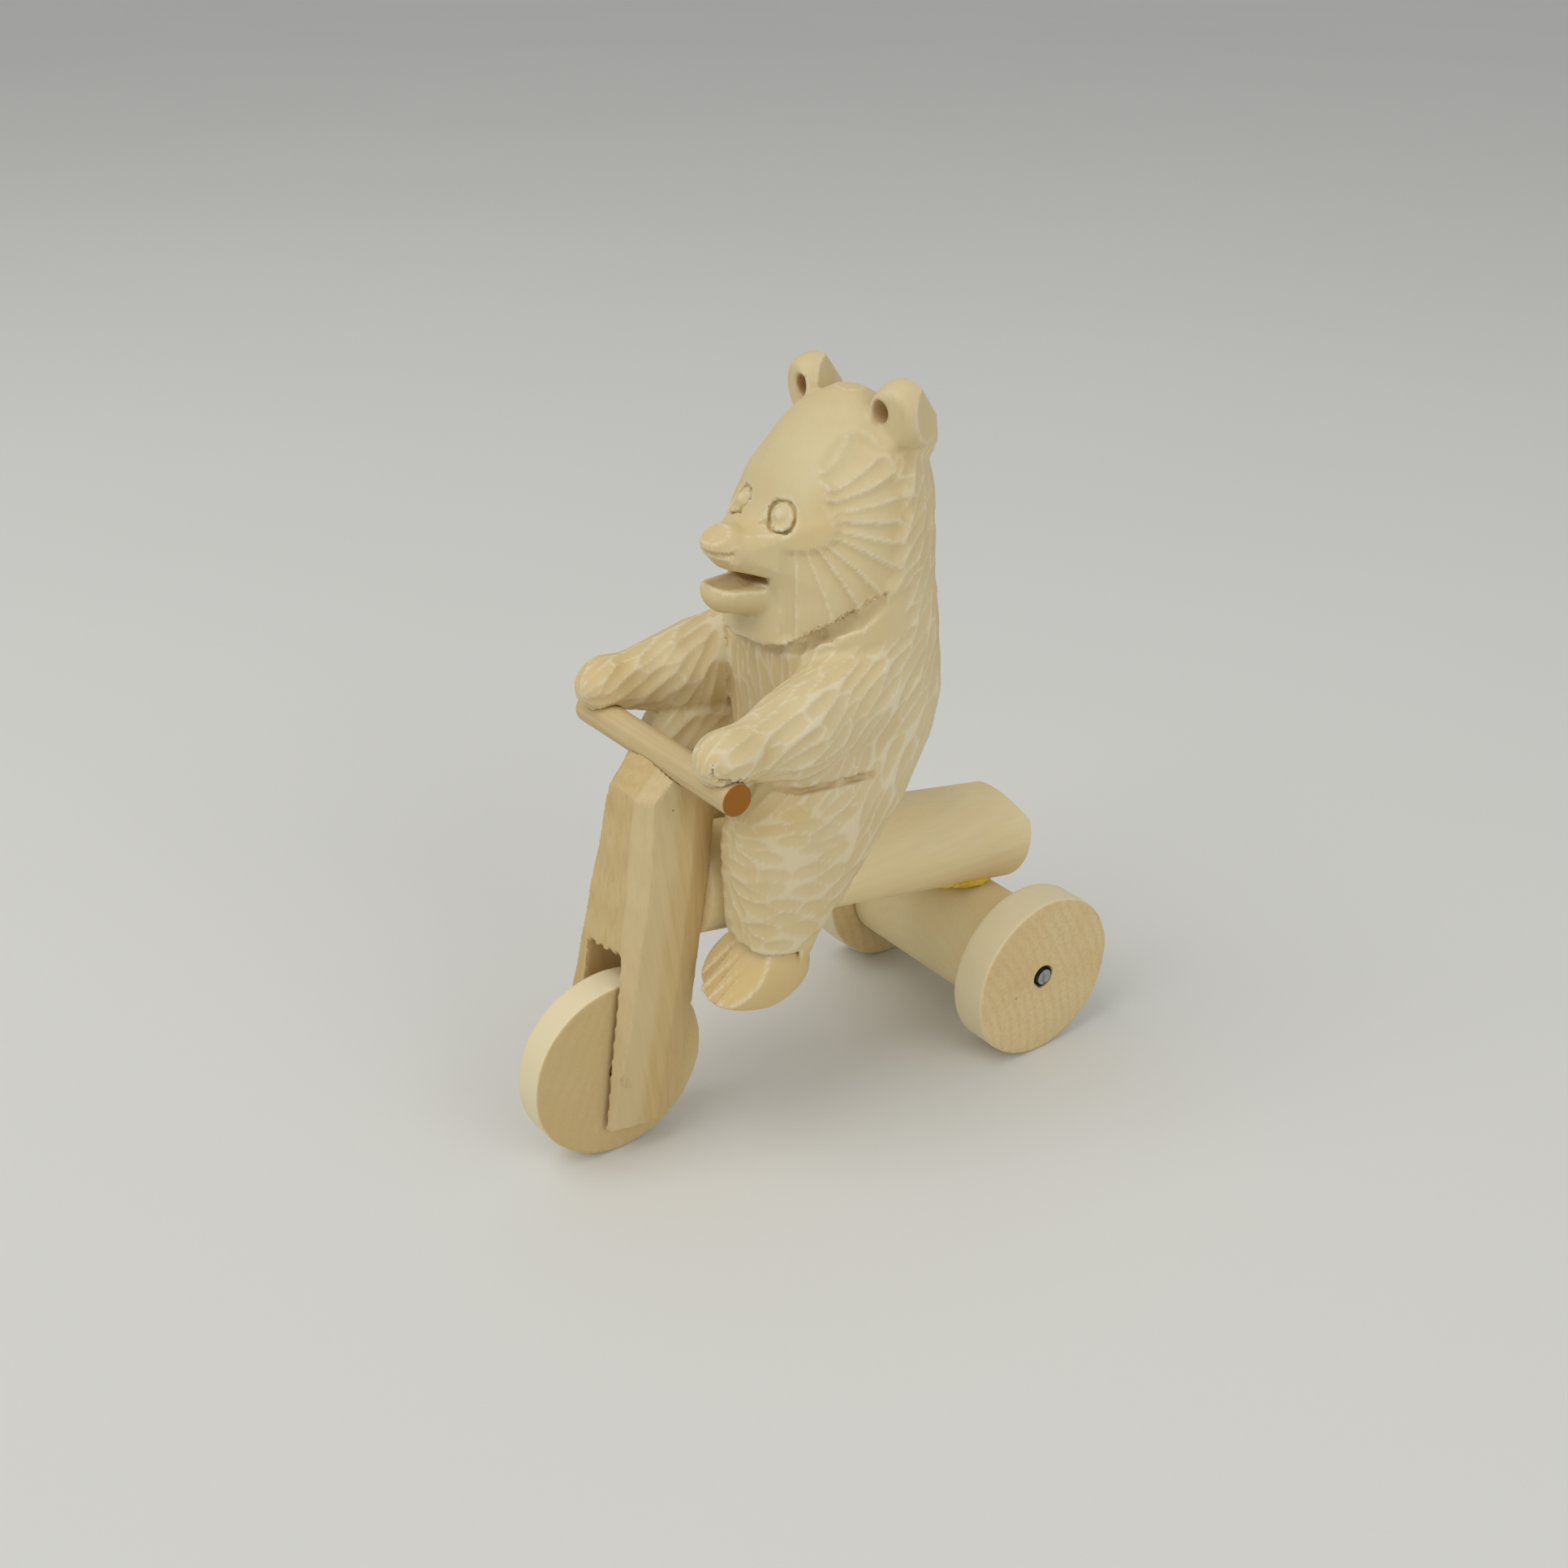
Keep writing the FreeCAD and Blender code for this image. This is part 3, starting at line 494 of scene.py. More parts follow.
def eye_cut(s, skin):
    """The ring round the eyeball, the tear duct and the lower lid."""
    across, lift, out = eye_axes(s)
    behind = np.maximum(-out - 5.0, 0)
    roundness = 2.4
    away = (np.abs(across / 2.45) ** roundness + np.abs(lift / 2.6) ** roundness) ** (1 / roundness)
    ring = np.abs(away - 1.0) * 2.5 - 0.42
    groove = np.maximum(np.maximum(ring, -(skin + 1.25)), behind)
    tear = limb(s, (4.3, -9.0, 120.4), (2.6, -9.9, 119.7), 0.7, 0.15)
    lid = limb(s, (7.3, -7.8, 118.5), (9.3, -6.4, 118.7), 0.4, 0.3)
    return np.minimum(np.minimum(groove, tear), lid)


def eyeball(s):
    return ball(s, np.array(EYE) - 0.95 * np.array(EYE_LOOK), (1.85, 1.85, 1.95))


def head_and_torso(p, s):
    """The block of the head stands over the torso, with the chin and the ruff undercut."""
    head = stack(p, HEAD)
    head = np.maximum(head, -plane(s, (6, -10.4, 98.1), (-0.22, -0.08, 1.0)))
    ruff_edge = np.minimum(-plane(s, (13.5, -5, 101.9), (-0.22, -0.42, 0.88)), 6.0 - p[:, 1])
    head = np.maximum(head, ruff_edge)
    return np.minimum(grooved(stack(p, TORSO), s, CHIN_EDGE, 1.2, 0.9), head)


def muzzle_of(p, s):
    muzzle = limb(p, (0, -3.0, 114.4), (0, -14.8, 115.4), 10.6, 4.5, (1.2, 1.0, 0.9))
    muzzle = np.maximum(muzzle, plane(s, (0, -16, 118.9), (0.16, -0.12, 1)))
    muzzle = np.maximum(muzzle, plane(s, (5.2, -15.2, 116.2), (0.9, -0.42, 0.1)))
    return smooth_meet(muzzle, plane(s, (0, -19.3, 115.4), (0.2, -0.77, -0.63)), 0.4)


def jaw_of(p, s):
    """The lower jaw, hollowed like a spoon."""
    jaw = limb(p, (0, -3.0, 106.6), (0, -15.4, 107.8), 7.0, 4.2, (1.15, 1.0, 0.95))
    jaw = np.maximum(jaw, plane(s, (0, -19, 109.9), (0.26, 0.0, 1)))
    return smooth_cut(jaw, ball(p, (0, -14.6, 110.6), (3.6, 4.3, 3.4)), 0.5)


def mouth_gap(p, s):
    gap = np.maximum(plane(p, (0, -11.0, 110.9), (0, 0.24, 1)), -plane(p, (0, -11.0, 109.3), (0, 0.0, 1)))
    return np.maximum(gap, plane(s, (7.0, -10.6, 110), (0.45, 1, 0)))


def nose_of(p, s):
    """The pad of the nose, flat on top and undercut."""
    nose = ball(p, (0, -15.2, 116.6), (4.3, 4.5, 3.4))
    nose = np.maximum(nose, plane(s, (0, -17.5, 118.8), (0.14, -0.53, 0.85)))
    return np.maximum(nose, -plane(p, (0, -18.5, 115.6), (0, -0.22, 1)))


def bear_body(p, s):
    upper = smooth_join(head_and_torso(p, s), muzzle_of(p, s), 4.5)
    upper = smooth_cut(upper, mouth_gap(p, s), 0.5)
    body = smooth_join(upper, jaw_of(p, s), 0.5)
    corner_of_mouth = limb(s, (6.6, -11.5, 110.2), (6.8, -10.8, 107.9), 0.45, 0.2)
    body = smooth_cut(body, corner_of_mouth, 0.3)
    nose = nose_of(p, s)
    crease = np.maximum(np.sqrt(nose**2 + body**2) - 0.45, p[:, 2] - 116.2)
    body = smooth_join(body, nose, 0.5)
    body = smooth_cut(body, crease, 0.25)
    return smooth_join(smooth_cut(body, eye_cut(s, body), 0.2), eyeball(s), 0.3)


def ear_of(s):
    ear = ball(s, (12.6, 14.4, 137.4), (5.4, 6.2, 5.9))
    ear = smooth_join(ear, limb(s, (11.5, 14.5, 136.5), (8.5, 19, 132), 5.0, 5.2), 3)
    front = plane(s, (12.6, 10.0, 137.6), (-0.25, 1.0, 0.12))
    ear = smooth_cut(ear, front, 0.8)
    rims = (((12.6, 17.0, 140.9), (0.1, 0.75, 0.7)), ((8.6, 13.0, 138.0), (-0.85, 0.45, 0.15)),
            ((16.6, 14.6, 138.4), (0.85, 0.5, 0.1)))
    for place, facing in rims:
        ear = np.maximum(ear, plane(s, place, facing))
    return ear


def arm_of(s):
    shoulder = limb(s, (14.0, 3.0, 88.5), (17.6, -12.0, 85.6), 10.5, 8.2, (0.85, 1, 1.05))
    fore = limb(s, (17.6, -12.0, 85.6), (19.4, -28.0, 86.4), 8.2, 5.2, (0.85, 1, 1.0))
    paw = ball(s, (19.4, -29.0, 86.2), (5.0, 6.3, 4.8))
    arm = smooth_join(smooth_join(shoulder, fore, 3.0), paw, 2.0)
    underside = np.maximum(plane(s, (22, -16, 77.4), (0, 0.16, 1)), -plane(s, (22, -22, 80), (0, 1, 0)))
    arm = smooth_cut(arm, underside, 0.3)
    for share in np.linspace(0, 1, 6):
        claw = np.array((22.0 + 2.2 * share, -34.3 + 7.0 * share, 86.0 - 2.4 * share))
        arm = smooth_cut(arm, limb(s, claw + (0.6, 0, -1.2), claw + (-0.2, 0.8, 1.5), 0.7, 0.2), 0.2)
    return arm


def foot_of(s):
    """A foot with a sloping top, a bevelled sole and grooves between the toes."""
    foot = ball(s, (16.4, -21.4, 39.4), (7.8, 11.6, 8.4))
    foot = smooth_cut(foot, -plane(s, (16, -22.6, 45.9), (0.13, -0.74, 0.66)), 0.4)
    foot = smooth_cut(foot, plane(s, (17, -20, 33.4), (0.0, 0.16, 1)), 1.6)
    foot = smooth_meet(foot, plane(s, (22, -17.9, 35.0), (0.25, 0.28, -0.93)), 0.8)
    for toe in range(4):
        x = 12.6 + 2.7 * toe
        groove = limb(s, (x - 1.2, -31.4, 36.2), (x + 1.4, -24.2, 44.6 - 0.3 * toe), 0.95, 0.3)
        foot = smooth_cut(foot, groove, 0.25)
    return foot


def leg_of(s):
    """The leg ends in a hem over the foot."""
    leg = stack(s - row((LEG_MIDDLE, 0, 0), s), LEG, 2.8)
    hem = np.maximum(plane(s, (16, -24.0, 47.0), (0.16, 0.16, 0.975)), plane(s, (20, -15.0, 45), (0.3, 1, 0)))
    return smooth_join(smooth_cut(leg, hem, 0.2), foot_of(s), 0.2)


def bear_field(p):
    s = mirrored(p)
    body = smooth_join(bear_body(p, s), ear_of(s), 1.6)
    ear_hollow = limb(s, (10.4, 5.0, 138.2), (11.4, 12.2, 138.0), 1.95, 1.6, (1, 1, 1.2))
    body = smooth_cut(body, ear_hollow, 0.4)
    body = smooth_join(body, arm_of(s), 1.2)
    body = smooth_join(body, leg_of(s), 0.6)
    body = grooved(body, s, SLEEVE, 0.66, 0.15)
    return np.maximum(np.maximum(body, -seat(p)), -grip(p))


def fade(value, start, end):
    """0 before start, 1 after end."""
    t = np.clip((value - start) / (end - start), 0.0, 1.0)
    return t * t * (3 - 2 * t)


def hair_flow(points):
    """Direction of the gouge strokes at each point, and how deep they go."""
    x, y, z = np.abs(points[:, 0]), points[:, 1], points[:, 2]
    flow = np.tile(np.array([0.0, -0.55, -0.84]), (len(points), 1))

    def turn_to(direction, share):
        flow[:] = flow + (np.array(direction) - flow) * share[:, None]

    turn_to((0.0, -0.85, -0.53), fade(z, 82, 92) * (1 - fade(y, 8, 20)))
    arm = fade(-y, 3, 12) * fade(z, 76, 79) * (1 - fade(z, 98, 102))
    turn_to((0.12, -0.93, -0.34), arm)
    thigh = (1 - fade(z, 74, 78)) * fade(z, 44, 48)
    front = fade(-y, -4, 16) * thigh
    turn_to((0.0, -0.95, 0.22), front)
    chest = fade(-y, 4, 8) * (1 - fade(x, 9, 13)) * fade(z, 78, 84)
    turn_to((0.2, -0.15, -0.95), chest)
    crown = fade(z, 134, 138)
    turn_to((0.3, 0.9, -0.2), crown)
    depth = np.full(len(points), 1.0)
    face = fade(z, 98.5, 99.5) * (1 - fade(y, 1.0, 4.0))
    cheek_band = fade(z, 99, 100) * (1 - fade(y, 9.0, 11.0)) * (1 - fade(z, 136, 138))
    foot = 1 - fade(z, 44, 46.5)
    ears = fade(z, 131.5, 133)
    depth *= 1 - np.maximum.reduce([face, cheek_band, foot, ears])
    depth *= 1 - 0.35 * front
    return flow, depth


def stroke_centres(points, flow, along, apart, rng):
    """Points picked so that no two are nearer than along in the stroke's direction and apart across it."""
    order = rng.permutation(len(points))[:24000]
    keep_place, keep_flow = np.empty((0, 3)), np.empty((0, 3))
    kept = []
    for i in order:
        if kept:
            away = keep_place - points[i]
            u = (away * keep_flow).sum(1)
            rest = (away**2).sum(1) - u * u
            if (u * u / along**2 + rest / apart**2).min() < 1.0:
                continue
        kept.append(i)
        keep_place = np.vstack([keep_place, points[i]])
        keep_flow = np.vstack([keep_flow, flow[i]])
    return np.array(kept)


def deepest(cuts):
    """The deepest cut at each point, and how near the point is to the crest between its two deepest cuts."""
    second, first = np.sort(cuts, axis=1)[:, -2:].T
    return first, np.exp(-(((first - second) / CREST) ** 2))


def gouge(points, normals, centres, directions, facing, lengths, widths, depths):
    """Depth and crests of the strokes at each point. Each starts steeply at its upper end and fades out."""
    cut, crest = np.zeros(len(points)), np.zeros(len(points))
    across = unit(np.cross(facing, directions))
    step = 3000
    for start in range(0, len(points), step):
        part = slice(start, start + step)
        away = points[part][:, None, :] - centres[None]
        u = (away * directions[None]).sum(2)
        v = (away * across[None]).sum(2)
        w = (away * facing[None]).sum(2)
        u = np.where(u < 0, u * 1.5, u * 0.8) / lengths
        deep = depths * (1.0 - u * u - (v / widths) ** 2)
        seen = (np.abs(w) < 4.0) & (normals[part] @ facing.T > 0.35)
        deep = np.where(seen, np.maximum(deep, 0), 0.0)
        cut[part], crest[part] = deepest(np.partition(deep, -2, axis=1)[:, -2:])
    return cut, crest


def ruff_depth(points, normals):
    """Depth and crests of the cheek strokes, which lie like rays round the smooth cheek. They are laid out on
    the side view, where the cheek is nearly flat, and each is steeper along its upper edge."""
    place = np.stack([points[:, 1], points[:, 2]], 1)
    side = fade(np.abs(normals[:, 0]), 0.15, 0.45) * fade(np.abs(points[:, 0]), 7.5, 10.0)
    side *= fade(points[:, 2], 98.8, 100.0) * (1 - fade(points[:, 2], 133.5, 136.0))
    cuts = []
    for number, angle in enumerate(np.radians(RUFF_ANGLES)):
        inner = np.interp(math.degrees(angle), *RUFF_INNER)
        length = np.interp(math.degrees(angle), *RUFF_OUTER) - inner + 0.6 * (number % 3)
        axis = np.array([math.cos(angle), math.sin(angle)])
        q = place - np.array(CHEEK) - axis * inner
        u, v = q @ axis, q @ np.array([-axis[1], axis[0]])
        run = np.clip(u / length, 0, 1)
        v = v / ((1.5 + 0.2 * (number % 3)) * (0.8 + 0.85 * run))
        shape = (1 - v * v) * (1 + 0.45 * v)
        rise = fade(u, -0.4, 1.1) * (1 - fade(u, length - 1.0, length + 1.5))
        deep = (0.95 + 0.2 * (number % 2)) * (0.75 + 0.4 * run)
        cuts.append(np.where(np.abs(v) < 1, deep * shape * rise, 0.0))
    cut, crest = deepest(np.stack(cuts, 1))
    return cut * side, crest * side * (cut > 0.05)


def lowness(verts, faces, normals):
    """How far each corner lies below the middle of its neighbours, in mm. It is negative on a crest."""
    total, count = np.zeros_like(verts), np.zeros(len(verts))
    for here, there in ((0, 1), (1, 0), (1, 2), (2, 1), (2, 3), (3, 2), (3, 0), (0, 3)):
        for axis in range(3):
            total[:, axis] += np.bincount(faces[:, here], verts[faces[:, there], axis], len(verts))
        count += np.bincount(faces[:, here], minlength=len(verts))
    return ((total / count[:, None] - verts) * normals).sum(1)


def line_mask(points, line, wide):
    """1 along a line of knife cuts, fading out towards wide."""
    away = np.minimum.reduce([limb(points, start, end, 0.0, 0.0) for start, end in zip(line, line[1:])])
    return 1 - fade(away, 0.35 * wide, wide)


def rounded_mask(points, centre, radii, soft=0.5):
    return 1 - fade(ball(points, centre, radii), -soft, soft)


class CarvingSettings(bpy.types.PropertyGroup):
    grid: bpy.props.FloatProperty(
        name="Grid", description="Size of a mesh cell on the bear, in mm", default=0.52, min=0.3)
    stroke_depth: bpy.props.FloatProperty(
        name="Stroke depth", description="Depth of a gouge stroke, in mm", default=0.5)
    stroke_length: bpy.props.FloatProperty(
        name="Stroke length", description="Half length of a stroke, in mm", default=7.0)
    stroke_width: bpy.props.FloatProperty(
        name="Stroke width", description="Half width of a stroke, in mm", default=1.5)
    seed: bpy.props.IntProperty(name="Seed", description="Seed of the stroke places", default=7)


class WheelSettings(bpy.types.PropertyGroup):
    steps: bpy.props.IntProperty(
        name="Steps", description="Divisions round a turned piece", default=160, min=16)
    wander: bpy.props.FloatProperty(
        name="Wander", description="How far the knife wandered at a rim", default=0.00022, unit="LENGTH",
        subtype="DISTANCE")
    rim: bpy.props.FloatProperty(name="Rim", description="Broken edge of a wheel, in mm", default=0.55)


class StageSettings(bpy.types.PropertyGroup):
    lens: bpy.props.FloatProperty(name="Lens", description="Focal length for a 36 mm sensor", default=40.75)
    floor: bpy.props.FloatVectorProperty(
        name="Floor", description="Colour of the floor", subtype="COLOR", size=3,
        default=(0.755, 0.755, 0.725))
    key: bpy.props.FloatProperty(
        name="Key light", description="Power of the large soft light", default=8.0, unit="POWER")


def woods():
    """Every finish of the toy, by its material slot."""
    if WOODS:
        return WOODS
    cream, amber = (0.72, 0.60, 0.35), (0.66, 0.485, 0.225)
    upright, lying, backwards = (0, 0, 0), (0, math.radians(90), 0), (math.radians(90), 0, 0)
    fork_lean = (math.radians(-8), 0, 0)
    WOODS["carved_wood"] = wood(
        "carved_wood", cream, amber, turn=upright, pith=(0.02, 0.06), ring_gap=7.0, ring_share=0.1,
        fibre=0.1, blotch=0.5, speck=0.35, rough=0.5, relief=0.03,
        # crest paints highlights onto the ridges and the crests between strokes, and amber, among its tints,
        # paints shade onto the thigh under the arm
        masks=(("amber", (0.69, 0.49, 0.19), 0.6), ("crest", (0.86, 0.795, 0.60), 0.55),
               # crease and hollow paint shade into the creases, the knife lines and the hollows
               ("crease", (0.50, 0.30, 0.09), 0.75), ("hollow", (0.44, 0.24, 0.07), 0.75)))
    WOODS["whittled_wood"] = wood(
        "whittled_wood", (0.65, 0.495, 0.235), (0.59, 0.41, 0.17), turn=fork_lean, pith=(0.03, 0.01),
        ring_gap=2.6, ring_share=0.25, fibre=0.5, blotch=0.5, speck=0.8, rough=0.62, relief=0.07,
        stain=(0.60, 0.53, 0.38),
        # amber darkens the back of the fork and paints shade inside the wheel slot, and crest paints a
        # highlight on the front of the near blade
        masks=(("amber", (0.62, 0.41, 0.18), 0.3), ("crest", (0.74, 0.62, 0.37), 0.4)))
    WOODS["turned_wood"] = wood(
        "turned_wood", (0.86, 0.725, 0.43), (0.81, 0.62, 0.32), turn=backwards, pith=(0.0, -0.018),
        ring_gap=3.0, ring_share=0.12, fibre=0.2, blotch=0.4, speck=0.5, rough=0.6, relief=0.05)
    WOODS["wheel_wood"] = wood(
        "wheel_wood", (0.78, 0.61, 0.33), (0.70, 0.50, 0.23), turn=lying, pith=(0.03, 0.02),
        ring_gap=2.4, ring_share=0.3, fibre=0.5, blotch=0.6, speck=0.7, rough=0.66, relief=0.08,
        stain=(0.56, 0.45, 0.24),
        # The front wheel's mask paints shade over that whole wheel, and the hub mask paints shade into the
        # bore and the nail's pocket
        masks=(("front_wheel_shade", (0.58, 0.43, 0.19), 0.6), ("rim", (0.84, 0.75, 0.50), 0.85),
               ("hub", (0.06, 0.035, 0.015), 1.0)))
    WOODS["dowel_wood"] = wood(
        "dowel_wood", (0.66, 0.52, 0.28), (0.57, 0.40, 0.18), turn=lying, pith=(0.005, 0.004),
        ring_gap=1.4, ring_share=0.3, fibre=0.4, blotch=0.3, speck=0.4, rough=0.58, relief=0.05,
        masks=(("hollow", (0.345, 0.125, 0.0025), 1.0),))
    WOODS["nail_steel"] = nail_steel()
    WOODS["dried_glue"] = dried_glue()
    return WOODS


class OBJECT_OT_carved_bear(bpy.types.Operator):
    """Carve the bear from one block and cut its coat with gouge strokes"""

    bl_idname = "object.carved_bear"
    bl_label = "Carve the Bear"

    def execute(self, context):
        settings = context.scene.bear_carving
        low, high = box_of("bear")
        verts, faces = surface_of(bear_field, low - 4, high + 4, settings.grid)
        normals = unit(gradient(bear_field, verts))
        verts, share, coat_crest, ruff_crest = self.cut_coat(settings, verts, normals)
        low_by = lowness(verts, faces, normals)
        # Painted shade in the creases, where a corner lies below its neighbours
        crease = fade(low_by, 0.05, 0.2) * (1 - 0.6 * share)
        # Painted highlight on the ridges and on the crests between the strokes
        ridge = fade(-low_by, 0.02, 0.09)
        crest = np.maximum.reduce([0.9 * ridge, 0.9 * coat_crest * share, 0.7 * ruff_crest])
        s = mirrored(verts)
        # Painted shade in the mouth, along the sleeve line, under the chin and in the ear hollow
        hollow = np.maximum.reduce([
            rounded_mask(verts, (0, -13.5, 110.3), (5.2, 6.5, 1.6), 0.8),
            0.95 * line_mask(s, SLEEVE, 0.95),
            0.85 * line_mask(s, CHIN_SHADOW, 1.25) * (normals[:, 2] < 0.3),
            0.6 * rounded_mask(s, (11.2, 11.0, 138.0), (2.1, 4.5, 2.6), 0.5)])
        amber = np.maximum.reduce([
            1 - fade(verts[:, 2], 42.0, 46.5),
            0.5 * rounded_mask(s, (19, -29, 86), (7, 9, 7), 4.0),
            # painted shade on the thigh under the arm
            0.8 * rounded_mask(s, (22, -21, 73), (6, 9, 4.5), 3.0),
            0.7 * rounded_mask(s, (19, -8, 121), (9, 9, 12), 4.0),
            0.4 * rounded_mask(verts, (0, -16, 117), (7, 6, 6), 3.0)])
        piece = new_piece("carved_bear", verts, faces, woods()["carved_wood"], hollow=hollow, amber=amber,
                          crease=crease, crest=crest)
        finish_piece(piece, "root", "carved_wood", "bear")
        return {"FINISHED"}

    def cut_coat(self, settings, verts, normals):
        """The corners after all strokes, the coat's share at each of them, and the crests of both kinds."""
        flow, share = hair_flow(verts)
        flow -= normals * (flow * normals).sum(1)[:, None]
        flow = unit(flow)
        rng = np.random.default_rng(settings.seed)
        coat = np.flatnonzero(share > 0.3)
        along, apart = settings.stroke_length * 1.15, settings.stroke_width * 1.4
        picked = coat[stroke_centres(verts[coat], flow[coat], along, apart, rng)]
        lean = rng.normal(0.0, 0.09, len(picked))[:, None]
        sideways = np.cross(normals[picked], flow[picked])
        directions = unit(flow[picked] + sideways * lean)
        depths = settings.stroke_depth * rng.uniform(0.8, 1.25, len(picked))
        widths = settings.stroke_width * rng.uniform(0.85, 1.2, len(picked))
        lengths = settings.stroke_length * rng.uniform(0.8, 1.2, len(picked)) * share[picked]
        coat_cut, coat_crest = gouge(verts, normals, verts[picked], directions, normals[picked], lengths,
                                     widths, depths)
        ruff_cut, ruff_crest = ruff_depth(verts, normals)
        proud = 0.25 * share  # the coat stands a little proud, so that the strokes cut down to the shape
        cut = coat_cut * share + ruff_cut
        return verts - normals * (cut - proud)[:, None], share, coat_crest, ruff_crest


# ---------------------------------------------------------------- the fork

FORK_LEAN = math.tan(math.radians(7.94))
FORK_COSINE = 0.9904
FORK_TOE, FORK_TOE_HEIGHT = -47.58, 9.1  # a place on the fork's front face
# Height and side of the outer edge of each blade, on the far side and on the near side.
FORK_FAR = ((6, 22, 31, 42, 51, 63, 74, 83), (-12.3, -12.4, -12.0, -10.2, -9.0, -6.8, -5.2, -4.6))
FORK_NEAR = ((6, 30, 60, 83), (6.6, 8.6, 9.7, 8.6))


def fork_depth(points):
    """How far a point lies behind the fork's leaning front face, along Y."""
    return points[:, 1] - FORK_TOE - (points[:, 2] - FORK_TOE_HEIGHT) * FORK_LEAN


def fork_field(p):
    x, z = p[:, 0], p[:, 2]
    depth = fork_depth(p) * FORK_COSINE
    far, near = np.interp(z, *FORK_FAR), np.interp(z, *FORK_NEAR)
    grain = 0.12 * np.sin(z * 0.31 + x * 0.9) + 0.08 * np.sin(z * 0.13 + 2.0)
    solid = np.maximum(-depth + grain * 0.4, depth - 15.2)
    solid = np.maximum(solid, (far - x) * 0.97 - 0.35 * np.minimum(depth, 4.0) + 0.9 + grain * 0.5)
    narrow = (x - 4.6) * 0.42 - depth * 0.9
    wide = (x - near) * 0.93 - (depth - 7.0) * 0.16
    back = (x - near) * 0.93 + (depth - 11.0) * 0.35
    far_back = (far + 0.3 - x) * 0.9 + (depth - 11.5) * 0.4
    for face in (narrow, wide + grain * 0.4, back, far_back):
        solid = np.maximum(solid, face)
    brow = (z - 75.2) * 0.66 - depth * 0.75 + 0.022 * (x - 0.3) ** 2
    solid = np.maximum(solid, brow)
    hind = (z - 77.0) * 0.8 + (depth - 12.0) * 0.6
    solid = np.maximum(solid, hind)
    solid = np.maximum(np.maximum(solid, z - 82.5), 6.5 + 0.25 * np.sin(x * 1.7) - z)
    torn = 0.35 * np.sin(x * 2.3 + 1.0) + 0.25 * np.sin(x * 5.1)
    slot_wall = np.maximum(-7.0 - x, x - 4.4)
    slot_cut = np.maximum(slot_wall, z - 43.0 - torn * (1 - fade(depth, 0.5, 3.0)) - 0.12 * (x + 1.3))
    return np.maximum(np.maximum(solid, -slot_cut), -grip(p))


class OBJECT_OT_whittled_fork(bpy.types.Operator):
    """Whittle the fork with its wheel slot and its groove for the handlebar"""

    bl_idname = "object.whittled_fork"
    bl_label = "Whittle the Fork"

    def execute(self, context):
        low, high = box_of("fork")
        verts, faces = surface_of(fork_field, low - (5, 3, 3), high + 3, 0.5)
        depth = fork_depth(verts)
        amber = fade(depth, 7, 11) * 0.7
        # Painted shade inside the wheel slot
        slot_inside = (verts[:, 0] > -7.3) & (verts[:, 0] < 4.6) & (verts[:, 2] < 43.6) & (depth > 1.0)
        amber = np.where(slot_inside, 0.9, amber)
        # Painted highlight on the front of the near blade, carried by the crest attribute
        facet = fade(verts[:, 0], 3.6, 4.6) * (1 - fade(depth, 5.0, 7.5))
        piece = new_piece("whittled_fork", verts, faces, woods()["whittled_wood"], 32, amber=amber,
                          crest=facet)
        finish_piece(piece, "root", "whittled_wood", "fork")
        return {"FINISHED"}


# ---------------------------------------------------------------- turned pieces


